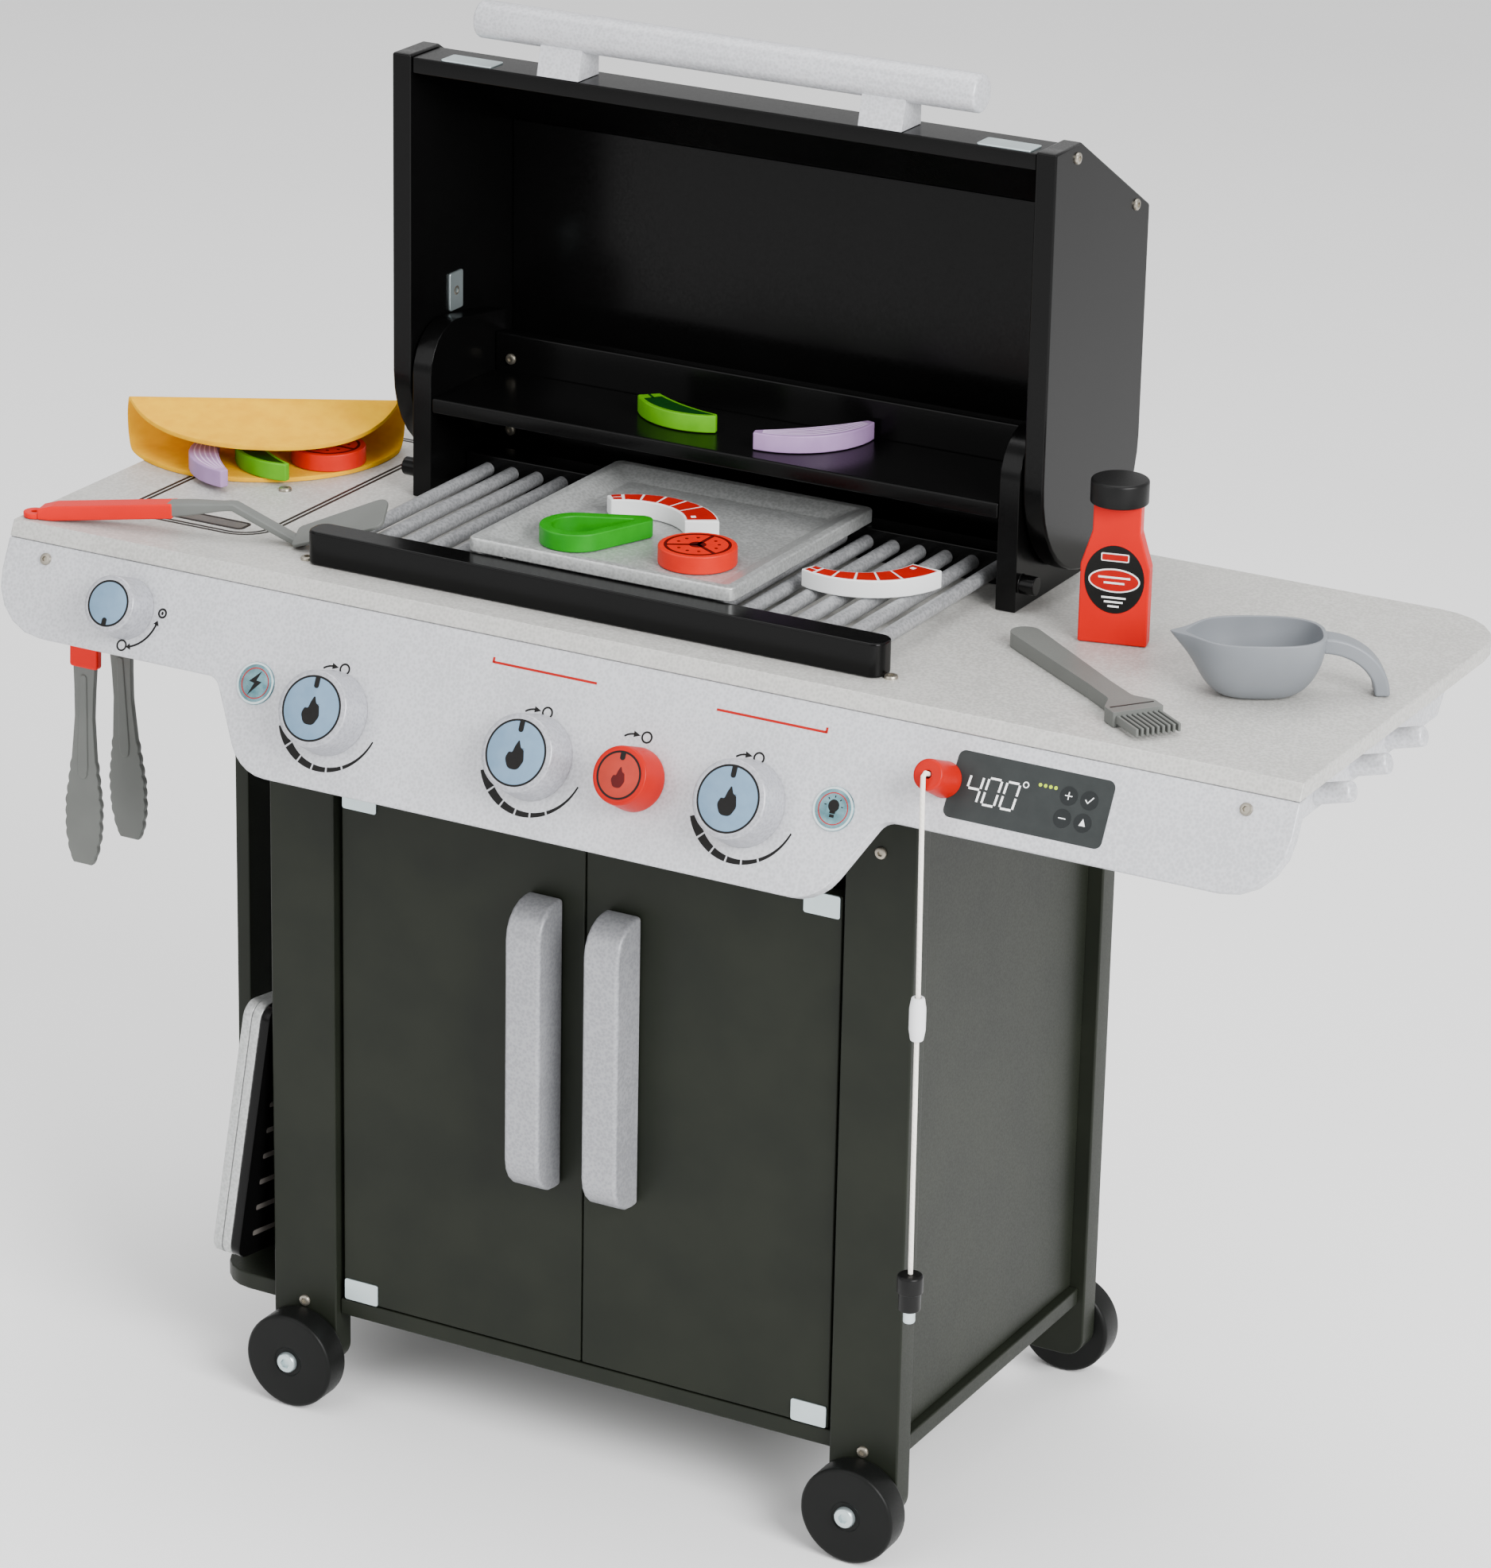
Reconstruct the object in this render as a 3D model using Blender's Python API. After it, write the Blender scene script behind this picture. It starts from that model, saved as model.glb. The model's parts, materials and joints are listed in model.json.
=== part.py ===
"""A toy barbecue grill of painted boards with its tools and play food, in metres, +Z up.

The design frame has X along the worktop (0 at its middle), Y to the back (0 at the seam over the
control panel) and Z = 0 at the worktop's underside. The last step moves everything so that the
object stands on Z = 0 with the middle of its box over the origin.
"""

import math

import bmesh
import bpy
from mathutils import Matrix, Vector

# Clearances and tessellation
GAP = 0.0003
RUNNING_GAP = 0.001
ARC_STEPS = 5
PEG_SIDES = 14
KNOB_SIDES = 28
WHEEL_SIDES = 32
SHARP = math.radians(35)

# Worktop
WORKTOP_LENGTH = 0.780
WORKTOP_DEPTH = 0.287
WORKTOP_THICKNESS = 0.009
WORKTOP_CORNER = 0.044

# Cabinet and grill head stand left of the worktop's middle
HEAD_X = -0.0346

# Slanted control panel, its drops measured down the slope from the seam
PANEL_TILT = math.radians(25)
PANEL_THICKNESS = 0.009
PANEL_WING_DROP = 0.0522
PANEL_MIDDLE_DROP = 0.1008
PANEL_WING_HALF = 0.204
PANEL_MIDDLE_HALF = 0.177
PANEL_END_CORNER = 0.034
PANEL_INNER_CORNER = 0.010
PANEL_OUTER_CORNER = 0.028

# Knobs and the probe's holder on the panel
BURNER_PITCH = 0.1273
BURNER_DROP = 0.0585
BURNER_BASE_RADIUS = 0.0232
BURNER_FRONT_RADIUS = 0.0210
BURNER_HEIGHT = 0.0205
SMALL_BASE_RADIUS = 0.0172
SMALL_FRONT_RADIUS = 0.0157
SMALL_HEIGHT = 0.0200
SEAR_X = 0.0260
SIDE_KNOB_INSET = 0.0860
SIDE_KNOB_DROP = 0.0260
KNOB_EDGE = 0.0015
HOLDER_INSET = 0.1911
HOLDER_DROP = 0.0250
HOLDER_RADIUS = 0.0082
HOLDER_LENGTH = 0.0220
HOLDER_BORE_RADIUS = 0.0022
HOLDER_BORE_DEPTH = 0.0080

# Posts, legs and wheels
CABINET_HEIGHT = 0.4965
POST_HALF = 0.2015
POST_WIDTH = 0.0420
POST_THICKNESS = 0.0160
POST_FRONT = 0.0251
POST_LIFT = 0.0200
POST_CORNER = 0.0120
LEG_BACK = 0.2757
WHEEL_RADIUS = 0.0283
WHEEL_WIDTH = 0.0180
WHEEL_EDGE = 0.0020
AXLE_RADIUS = 0.0030
AXLE_CLEARANCE = 0.0002
BOLT_HEAD_RADIUS = 0.0060
BOLT_HEAD_HEIGHT = 0.0028
BOLT_CROWN_SHARE = 0.8
BOLT_GRIP = 0.0060

# Cabinet boards
BASE_LIFT = 0.0545
BASE_THICKNESS = 0.0100
BASE_INSET = 0.0040
BASE_BAY = 0.0450
BASE_CORNER = 0.0250
SIDE_INSET = 0.0090
SIDE_THICKNESS = 0.0090
BACK_THICKNESS = 0.0060
BAY_BOARD_THICKNESS = 0.0090
BAY_BOARD_SETBACK = 0.0270
BAY_BOARD_INSET = 0.0015

# Doors
DOOR_HEIGHT = 0.3140
DOOR_THICKNESS = 0.0090
DOOR_POST_GAP = 0.0029
DOOR_BASE_GAP = 0.0008
DOOR_MEETING_GAP = 0.0008
DOOR_PIVOT_INSET = 0.0046
HANDLE_OFFSET = 0.0245
HANDLE_WIDTH = 0.0220
HANDLE_DEPTH = 0.0260
HANDLE_LENGTH = 0.1710
HANDLE_CORNER = 0.0200
HANDLE_RISE = 0.1060

# Hook rails under both ends of the worktop
RAIL_INSET = 0.0110
RAIL_THICKNESS = 0.0090
RAIL_DEPTH = 0.0214
RAIL_FRONT = 0.0120
RAIL_BACK = 0.2200
RAIL_SLOPE = 0.0110
HOOK_RADIUS = 0.0055
HOOK_LENGTH = 0.0205
HOOK_TILT = math.radians(15)
HOOK_DROP = 0.0130
HOOK_FIRST_Y = 0.0480
HOOK_PITCH = 0.0465
HOOK_COUNT = 3
HOOK_GRIP = 0.0040

# Grill head: bars, rods, firebox
FRONT_BAR_HALF = 0.1765
BAR_DEPTH = 0.0180
BAR_HEIGHT = 0.0190
BAR_CORNER = 0.0070
FRONT_BAR_Y = 0.0245
ROD_COUNT = 21
ROD_RADIUS = 0.0040
ROD_SPAN = 0.1502
ROD_PITCH = 0.01617
ROD_RISE = 0.0110
ROD_SIDES = 10
ROD_GRIP = 0.0040
FIREBOX_OUTER_HALF = 0.1894
FIREBOX_THICKNESS = 0.0120
FIREBOX_FRONT = 0.1565
FIREBOX_BACK = 0.2380
FIREBOX_HEIGHT = 0.0990
FIREBOX_CORNER = 0.0300
FIREBOX_ARC_SHARE = 0.9
FIREBOX_FALL = 0.0072
FIREBOX_WALL_Y = 0.2250
FIREBOX_WALL_THICKNESS = 0.0090
FIREBOX_WALL_HEIGHT = 0.0818
SHELF_HEIGHT = 0.0510
SHELF_THICKNESS = 0.0088
REST_PEG_RADIUS = 0.0053
REST_PEG_LENGTH = 0.0090
REST_PEG_Y = 0.1635
REST_PEG_RISE = 0.0150

# Lid, drawn standing open
LID_PIVOT_Y = 0.2090
LID_PIVOT_Z = 0.0820
PIVOT_RADIUS = 0.0050
CHEEK_INNER_HALF = 0.1910
CHEEK_THICKNESS = 0.0120
CHEEK_FRONT = 0.1570
CHEEK_BACK = 0.2770
CHEEK_TOP = 0.2630
CHEEK_BEND_Y = 0.1880
CHEEK_BEND_Z = 0.2100
CHEEK_ROUND_Z = 0.0810
LID_BOARD_THICKNESS = 0.0090
LID_BOARD_INSET = 0.0015
LID_BACK_BOTTOM = 0.0750
LID_BAR_RADIUS = 0.0105
LID_BAR_LENGTH = 0.3060
LID_BAR_Y = 0.1700
LID_BAR_RISE = 0.0245
LID_BAR_SIDES = 24
LID_BLOCK_WIDTH = 0.0260
LID_BLOCK_DEPTH = 0.0225
LID_BLOCK_HEIGHT = 0.0165
LID_BLOCK_LEAN = 0.0040
LID_BLOCK_OFFSET = 0.0985
LID_GROOVE_SHARE = 0.9

# Probe on its cord, which hangs from the holder
CORD_RADIUS = 0.0013
CORD_REACH = 0.0035
CORD_BEND = 0.0060
CORD_DRIFT = 0.0022
BEAD_RADIUS = 0.0044
BEAD_LENGTH = 0.0240
BEAD_TOP = -0.1340
PROBE_TOP = -0.2910
PROBE_RADIUS = 0.0070
PROBE_LENGTH = 0.0205
PROBE_TIP_RADIUS = 0.0033
PROBE_TIP_LENGTH = 0.0075
PROBE_WAIST_SHARE = 0.86
CORD_POINTS = 60
BEAD_DRIFT_SHARE = 0.6
BEAD_BORE_RADIUS = 0.0019

# Tray and stored plates
TRAY_SIZE = 0.1630
TRAY_X = -0.0362
TRAY_Y = 0.1220
TRAY_HEIGHT = 0.0080
TRAY_RIM = 0.0060
TRAY_SLOPE = 0.0120
TRAY_RECESS = 0.0055
TRAY_CORNER = 0.0050
PLATE_SIZE = 0.1560
PLATE_THICKNESS = 0.0060
PLATE_CORNER = 0.0090
PLATE_LEAN = math.radians(5)
PLATE_TIP = math.radians(6)
PLATE_YAW = math.radians(-4)
PLATE_COUNT = 3
PLATE_FRONT = 0.0120
PLATE_REAR_ROOM = 0.0034

# Play food
FOOD_THICKNESS = 0.0100
TOMATO_RADIUS = 0.0215
SHRIMP_LENGTH = 0.0740
SHRIMP_TAIL = 0.0090
SHRIMP_BODY = 0.0150
SHRIMP_HEAD = 0.0190
PEPPER_RADIUS = 0.0200
PEPPER_TIP_RADIUS = 0.0060
PEPPER_LENGTH = 0.0370
CHILI_LENGTH = 0.0560
CHILI_STALK = 0.0130
CHILI_BODY = 0.0160
CHILI_TIP = 0.0040
ONION_LENGTH = 0.0720
ONION_WIDTH = 0.0170
ONION_TIP = 0.0050

TRAY_SHRIMP_XY = (-0.0460, 0.1390)
TRAY_SHRIMP_TURN = math.radians(-8)
TRAY_PEPPER_XY = (-0.0720, 0.0790)
TRAY_PEPPER_TURN = math.radians(46)
TRAY_TOMATO_XY = (0.0010, 0.0830)
GRATE_SHRIMP_XY = (0.0940, 0.1040)
GRATE_SHRIMP_TURN = math.radians(32)
SHELF_CHILI_XY = (-0.0730, 0.1860)
SHELF_CHILI_TURN = math.radians(-16)
SHELF_ONION_XY = (0.0160, 0.1900)
SHELF_ONION_TURN = math.radians(48)

# Felt tortilla folded over its filling
TORTILLA_RADIUS = 0.0800
TORTILLA_THICKNESS = 0.0025
TORTILLA_FOLD_RADIUS = 0.0145
TORTILLA_DROOP = 0.0045
TORTILLA_INSET = 0.0510
TORTILLA_Y = 0.1800
TORTILLA_TURN = math.radians(29.6)
TORTILLA_LIMIT_SHARE = 0.985
TORTILLA_ROWS = 26
TORTILLA_COLUMNS = 10
FILLING_ONION_XY = (-0.0320, -0.0430)
FILLING_ONION_TURN = math.radians(-82)
FILLING_CHILI_XY = (-0.0020, -0.0420)
FILLING_CHILI_TURN = math.radians(-62)
FILLING_TOMATO_XY = (0.0380, -0.0240)

# Sauce bottle
BOTTLE_WIDTH = 0.0370
BOTTLE_THICKNESS = 0.0100
BOTTLE_SHOULDER = 0.0430
BOTTLE_NECK_WIDTH = 0.0255
BOTTLE_NECK_START = 0.0620
BOTTLE_HEIGHT = 0.0790
BOTTLE_CAP_RADIUS = 0.0155
BOTTLE_CAP_HEIGHT = 0.0130
BOTTLE_INSET = 0.1710
BOTTLE_Y = 0.1440
BOTTLE_TURN = math.radians(14)

# Sauce bowl
BOWL_LENGTH = 0.0700
BOWL_WIDTH = 0.0500
BOWL_HEIGHT = 0.0330
BOWL_BASE_SHARE = 0.42
BOWL_SIDE_SHARES = ((0.70, 0.16), (0.87, 0.42), (0.96, 0.72))
BOWL_WALL = 0.0022
BOWL_LIP = 0.0110
BOWL_LIP_NARROW_SHARE = 0.55
BOWL_HANDLE_REACH = 0.0360
BOWL_HANDLE_WIDTH = 0.0120
BOWL_HANDLE_THICKNESS = 0.0060
BOWL_SIDES = 28
BOWL_INSET = 0.0750
BOWL_Y = 0.1130
BOWL_TURN = math.radians(30)

# Basting brush
BRUSH_HANDLE_LENGTH = 0.1150
BRUSH_HANDLE_WIDTH = 0.0170
BRUSH_HEAD_LENGTH = 0.0200
BRUSH_HEAD_WIDTH = 0.0290
BRUSH_THICKNESS = 0.0080
BRUSH_FINGERS = 7
BRUSH_FINGER_LENGTH = 0.0220
BRUSH_FINGER_WIDTH = 0.0024
BRUSH_FINGER_HEIGHT = 0.0045
BRUSH_FINGER_GRIP = 0.0030
BRUSH_BUTT_SHARE = 0.98
BRUSH_WAIST_PLACE_SHARE = 0.8
BRUSH_WAIST_SHARE = 0.75
BRUSH_NECK_SHARE = 0.8
BRUSH_INSET = 0.2140
BRUSH_Y = 0.1180
BRUSH_TURN = math.radians(-37)

# Spatula, its length measured from the heel that rests on the worktop
SPATULA_X = -0.2330
SPATULA_Y = 0.0500
SPATULA_TURN = math.radians(13.7)
SPATULA_LENGTH = 0.1600
SPATULA_GRIP = 0.0800
SPATULA_GRIP_WIDTH = 0.0125
SPATULA_GRIP_HEIGHT = 0.0085
SPATULA_NECK_WIDTH = 0.0075
SPATULA_NECK_HEIGHT = 0.0038
SPATULA_NECK_TOP = 0.0165
SPATULA_NECK_RUN = 0.0360
SPATULA_GRIP_TOP = 0.0130
SPATULA_BLADE_LENGTH = 0.0580
SPATULA_BLADE_HEEL = 0.0200
SPATULA_BLADE_WIDTH = 0.0330
SPATULA_BLADE_THICKNESS = 0.0020
SPATULA_BLADE_PITCH = math.radians(30)
SPATULA_LOOP_RADIUS = 0.0065
SPATULA_LOOP_BORE = 0.0020
SPATULA_LAP = 0.0030
SPATULA_TAIL_SHARE = 0.7
SPATULA_SLANT_SHARE = 0.94

# Tongs on the middle left hook
TONGS_REACH = 0.0050
TONGS_BOW_RADIUS = 0.0125
TONGS_BOW_THICKNESS = 0.0022
TONGS_BOW_WIDTH = 0.0080
TONGS_TOP_Z = -0.0016
TONGS_GRIP_LENGTH = 0.0790
TONGS_GRIP_WIDTH = 0.0190
TONGS_ARM_LENGTH = 0.1330
TONGS_ARM_NECK = 0.0150
TONGS_ARM_HEAD = 0.0260
TONGS_ARM_TIP = 0.0130
TONGS_ARM_THICKNESS = 0.0045
TONGS_SPREAD = math.radians(2.8)
TONGS_GRIP_SHOULDER_SHARE = 0.25
TONGS_NECK_START_SHARE = 0.3
TONGS_NECK_END_SHARE = 0.48
TONGS_HEAD_START_SHARE = 0.68
TONGS_HEAD_END_SHARE = 0.8

# Places worked out from the sizes above
FLOOR_Z = -CABINET_HEIGHT
WHEEL_APOTHEM = WHEEL_RADIUS * math.cos(math.pi / WHEEL_SIDES)
WHEEL_Z = FLOOR_Z + WHEEL_APOTHEM
BASE_TOP = FLOOR_Z + BASE_LIFT + BASE_THICKNESS
DOOR_FRONT = POST_FRONT + BASE_INSET
DOOR_BOTTOM = BASE_TOP + DOOR_BASE_GAP
DOOR_OUTER_HALF = POST_HALF - POST_WIDTH - DOOR_POST_GAP
LEG_FRONT = LEG_BACK - POST_THICKNESS
BASE_FRONT = DOOR_FRONT
BASE_LEFT = HEAD_X - POST_HALF - BASE_BAY
DECK = WORKTOP_THICKNESS
WORKTOP_END = WORKTOP_LENGTH / 2
RAIL_X = WORKTOP_END - RAIL_INSET - RAIL_THICKNESS
SIDE_KNOB_X = SIDE_KNOB_INSET - WORKTOP_END
HOLDER_X = WORKTOP_END - HOLDER_INSET
BOTTLE_X = WORKTOP_END - BOTTLE_INSET
BOWL_X = WORKTOP_END - BOWL_INSET
BRUSH_X = WORKTOP_END - BRUSH_INSET
TORTILLA_X = TORTILLA_INSET - WORKTOP_END
TONGS_X = -WORKTOP_END - TONGS_REACH
BACK_BAR_Y = FRONT_BAR_Y + BAR_DEPTH + ROD_SPAN
FIREBOX_INNER_HALF = FIREBOX_OUTER_HALF - FIREBOX_THICKNESS
CHEEK_OUTER_HALF = CHEEK_INNER_HALF + CHEEK_THICKNESS
LID_BOARD_HALF = CHEEK_INNER_HALF - GAP
TRAY_Z = DECK + GAP + BAR_HEIGHT + GAP
TRAY_FLOOR = TRAY_Z + TRAY_HEIGHT - TRAY_RECESS
ROD_TOP = DECK + ROD_RISE + ROD_RADIUS
SHELF_TOP = DECK + SHELF_HEIGHT + SHELF_THICKNESS
LID_PIVOT = Vector((HEAD_X, LID_PIVOT_Y, LID_PIVOT_Z))


def material(name, colour, roughness=0.5, metallic=0.0):
    """A plain Principled material with one colour."""
    made = bpy.data.materials.new(name)
    made.use_nodes = True
    shader = made.node_tree.nodes["Principled BSDF"]
    shader.inputs["Base Color"].default_value = (*colour, 1.0)
    shader.inputs["Roughness"].default_value = roughness
    shader.inputs["Metallic"].default_value = metallic
    made.diffuse_color = (*colour, 1.0)
    return made


def clear_scene():
    """Removes whatever the scene holds."""
    for obj in list(bpy.data.objects):
        bpy.data.objects.remove(obj, do_unlink=True)


def on_panel(x, drop, out=0.0):
    """The point x along the panel, drop down its slope and out in front of its face."""
    return Vector((
        x,
        -drop * math.sin(PANEL_TILT) - out * math.cos(PANEL_TILT),
        -drop * math.cos(PANEL_TILT) + out * math.sin(PANEL_TILT),
    ))


def panel_turn():
    """Turns local Y up the slope and local Z out of the panel's face."""
    return Matrix.Rotation(math.pi / 2 - PANEL_TILT, 4, "X")


def round_corners(corners, steps=ARC_STEPS):
    """An outline from corners (a, b, radius), each turned into an arc of its radius."""
    outline = []
    for index, (a, b, radius) in enumerate(corners):
        corner = Vector((a, b))
        if radius <= 0.0:
            outline.append(corner)
            continue
        before = (Vector(corners[index - 1][:2]) - corner).normalized()
        after = (Vector(corners[(index + 1) % len(corners)][:2]) - corner).normalized()
        half = before.angle(after) / 2
        centre = corner + (before + after).normalized() * (radius / math.sin(half))
        start = corner + before * (radius / math.tan(half)) - centre
        turn = math.pi - 2 * half
        if before.x * after.y - before.y * after.x > 0.0:
            turn = -turn
        for step in range(steps + 1):
            outline.append(centre + Matrix.Rotation(turn * step / steps, 2) @ start)
    return outline


def rectangle(low_a, high_a, low_b, high_b, radius=0.0):
    """The corners of a rectangle, all with one radius."""
    return [
        (low_a, low_b, radius), (high_a, low_b, radius),
        (high_a, high_b, radius), (low_a, high_b, radius),
    ]


def placed(bm, verts, matrix):
    """Moves new vertices by a matrix, if there is one."""
    if matrix is not None:
        bmesh.ops.transform(bm, matrix=matrix, verts=verts)
    return verts


def add_prism(bm, outline, low, high, axis="Z", matrix=None):
    """Extrudes an outline from low to high along an axis; its two numbers are the other two axes."""
    def point(a, b, level):
        return {"X": (level, a, b), "Y": (a, level, b), "Z": (a, b, level)}[axis]

    face = bm.faces.new([bm.verts.new(point(a, b, low)) for a, b in outline])
    kept = list(face.verts)
    grown = bmesh.ops.extrude_face_region(bm, geom=[face])
    raised = [item for item in grown["geom"] if isinstance(item, bmesh.types.BMVert)]
    bmesh.ops.translate(bm, verts=raised, vec=Vector(point(0.0, 0.0, high - low)))
    return placed(bm, kept + raised, matrix)


def add_box(bm, low, high, matrix=None):
    """A box between two corners."""
    outline = round_corners(rectangle(low[0], high[0], low[1], high[1]))
    return add_prism(bm, outline, low[2], high[2], "Z", matrix)


def add_turned(bm, profile, sides, matrix=None, half_step=False):
    """Spins a profile of (radius, height) points about Z; its ends lie on the axis or meet."""
    verts = [bm.verts.new((radius, 0.0, height)) for radius, height in profile]
    edges = [bm.edges.new(pair) for pair in zip(verts, verts[1:])]
    if profile[0][0] > 0.0:
        edges.append(bm.edges.new((verts[-1], verts[0])))
    before = set(bm.verts) - set(verts)
    bmesh.ops.spin(
        bm, geom=verts + edges, axis=(0, 0, 1), cent=(0, 0, 0), angle=2 * math.pi,
        steps=sides, use_merge=True,
    )
    made = [vert for vert in bm.verts if vert not in before]
    bmesh.ops.remove_doubles(bm, verts=made, dist=GAP / sides)
    made = [vert for vert in bm.verts if vert not in before]
    if half_step:
        bmesh.ops.rotate(bm, verts=made, matrix=Matrix.Rotation(math.pi / sides, 3, "Z"))
    return placed(bm, made, matrix)


def add_loops(bm, loops):
    """A closed skin over matching loops of points, flat at its first and last loop."""
    rings = [[bm.verts.new(point) for point in loop] for loop in loops]
    bm.faces.new(rings[0][::-1])
    for lower, upper in zip(rings, rings[1:]):
        for index, vert in enumerate(lower):
            after = (index + 1) % len(lower)
            bm.faces.new((vert, lower[after], upper[after], upper[index]))
    bm.faces.new(rings[-1])
    return [vert for ring in rings for vert in ring]


def add_cylinder(bm, start, end, radius, sides, end_radius=None):
    """A closed cylinder, or a cone, from one point to another."""
    span = Vector(end) - Vector(start)
    middle = (Vector(start) + Vector(end)) / 2
    matrix = Matrix.Translation(middle) @ span.to_track_quat("Z", "Y").to_matrix().to_4x4()
    return bmesh.ops.create_cone(
        bm, cap_ends=True, segments=sides, radius1=radius,
        radius2=radius if end_radius is None else end_radius, depth=span.length, matrix=matrix,
    )["verts"]


def linked(name, bm, surface, root, place, turn):
    """An object from a bmesh in its own frame, or in the design frame if it has no turn."""
    bmesh.ops.recalc_face_normals(bm, faces=bm.faces)
    if turn is None:
        bmesh.ops.translate(bm, verts=bm.verts, vec=-place)
    mesh = bpy.data.meshes.new(name)
    bm.to_mesh(mesh)
    bm.free()
    mesh.materials.append(surface)
    mesh.shade_smooth()
    mesh.set_sharp_from_angle(angle=SHARP)
    obj = bpy.data.objects.new(name, mesh)
    bpy.context.scene.collection.objects.link(obj)
    obj.parent = root
    obj.matrix_local = Matrix.Translation(place) @ (turn if turn is not None else Matrix())
    return obj


def finish(name, bm, surface, root, origin=None, turn=None, bevel=0.0, fused=None):
    """Makes the piece's object; a second bmesh of overlapping shapes is fused on with a union."""
    place = Vector(origin) if origin is not None else Vector()
    obj = linked(name, bm, surface, root, place, turn)
    if fused is not None:
        guide = linked(f"{name}_fused", fused, surface, root, place, turn)
        guide.hide_render = True
        guide.display_type = "WIRE"
        union = obj.modifiers.new("fused", "BOOLEAN")
        union.operation = "UNION"
        union.object = guide
    if bevel > 0.0:
        edge = obj.modifiers.new("edge", "BEVEL")
        edge.width = bevel
        edge.segments = 1
        edge.limit_method = "ANGLE"
        edge.angle_limit = math.radians(60)
    return obj


def mirrored(half):
    """Both signs of a half width, with the head's middle added."""
    return [(side, HEAD_X + side * half) for side in (-1, 1)]


def thick_arc(length, bend, widths, steps=12):
    """An outline along an arc of a length and a bend, its width eased through three widths."""
    left, right = [], []
    for step in range(steps + 1):
        share = step / steps
        angle = bend * (share - 0.5)
        if abs(bend) > 0.0:
            along = length / bend * math.sin(angle)
            across = length / bend * (1 - math.cos(angle))
        else:
            along, across = length * (share - 0.5), 0.0
        first, middle, last = widths
        width = (
            first * (1 - share) * (1 - 2 * share)
            + middle * 4 * share * (1 - share)
            + last * share * (2 * share - 1)
        )
        normal = Vector((-math.sin(angle), math.cos(angle))) * width / 2
        left.append(Vector((along, across)) + normal)
        right.append(Vector((along, across)) - normal)
    return left + right[::-1]


def teardrop(radius, tip_radius, length, steps=10):
    """An outline round a large circle at the origin and a small one at +X."""
    lean = math.acos((radius - tip_radius) / length)
    body = [lean + (2 * math.pi - 2 * lean) * step / steps for step in range(steps + 1)]
    tip = [-lean + 2 * lean * step / ARC_STEPS for step in range(ARC_STEPS + 1)]
    outline = [Vector((radius * math.cos(a), radius * math.sin(a))) for a in body]
    outline += [Vector((length + tip_radius * math.cos(a), tip_radius * math.sin(a))) for a in tip]
    return outline


def flat_place(x, y, z, turn):
    """A place on a level surface with a turn about Z."""
    return Matrix.Translation((x, y, z)) @ Matrix.Rotation(turn, 4, "Z")


def make_worktop(root, paint):
    """The worktop board, its front edge slanted in the panel's plane."""
    half = WORKTOP_LENGTH / 2
    corners = [
        (-half, 0.0, 0.0), (half, 0.0, 0.0),
        (half, WORKTOP_DEPTH, WORKTOP_CORNER), (-half, WORKTOP_DEPTH, WORKTOP_CORNER),
    ]
    bm = bmesh.new()
    verts = add_prism(bm, round_corners(corners, 6), 0.0, DECK)
    for vert in verts:
        if vert.co.y <= 0.0 and vert.co.z > 0.0:
            vert.co.y += DECK * math.tan(PANEL_TILT)
    finish("worktop", bm, paint, root, bevel=GAP * 2)


def make_control_panel(root, paint):
    """The slanted board with a deep middle, its top edge cut level under the worktop."""
    half = WORKTOP_LENGTH / 2
    corners = [
        (-half, 0.0, 0.0),
        (-half, PANEL_WING_DROP, PANEL_END_CORNER),
        (HEAD_X - PANEL_WING_HALF, PANEL_WING_DROP, PANEL_INNER_CORNER),
        (HEAD_X - PANEL_MIDDLE_HALF, PANEL_MIDDLE_DROP, PANEL_OUTER_CORNER),
        (HEAD_X + PANEL_MIDDLE_HALF, PANEL_MIDDLE_DROP, PANEL_OUTER_CORNER),
        (HEAD_X + PANEL_WING_HALF, PANEL_WING_DROP, PANEL_INNER_CORNER),
        (half, PANEL_WING_DROP, PANEL_END_CORNER),
        (half, 0.0, 0.0),
    ]
    outline = [Vector((a, -b)) for a, b in round_corners(corners)]
    bm = bmesh.new()
    verts = add_prism(bm, outline, -PANEL_THICKNESS, 0.0)
    for vert in verts:
        if vert.co.y >= 0.0:
            vert.co.y = -GAP / math.cos(PANEL_TILT) - vert.co.z * math.tan(PANEL_TILT)
    finish("control_panel", bm, paint, root, turn=panel_turn())


def knob_profile(base, front, height):
    """A knob's turned side: wide at the panel, slightly narrower in front."""
    return [
        (0.0, GAP), (base, GAP), (base, GAP + KNOB_EDGE), (front, height - KNOB_EDGE),
        (front - KNOB_EDGE, height), (0.0, height),
    ]


def make_knobs(root, silver, red):
    """Three burner knobs, the red one and the small one at the left, each on its own axis."""
    big = (BURNER_BASE_RADIUS, BURNER_FRONT_RADIUS, BURNER_HEIGHT)
    small = (SMALL_BASE_RADIUS, SMALL_FRONT_RADIUS, SMALL_HEIGHT)
    burner_x = HEAD_X - GAP * 5
    knobs = [
        ("knob_left", burner_x - BURNER_PITCH, BURNER_DROP, big, silver),
        ("knob_middle", burner_x, BURNER_DROP, big, silver),
        ("knob_right", burner_x + BURNER_PITCH, BURNER_DROP, big, silver),
        ("knob_red", SEAR_X, BURNER_DROP, small, red),
        ("knob_side", SIDE_KNOB_X, SIDE_KNOB_DROP, small, silver),
    ]
    for name, x, drop, sizes, surface in knobs:
        bm = bmesh.new()
        add_turned(bm, knob_profile(*sizes), KNOB_SIDES)
        finish(name, bm, surface, root, origin=on_panel(x, drop), turn=panel_turn())


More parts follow.
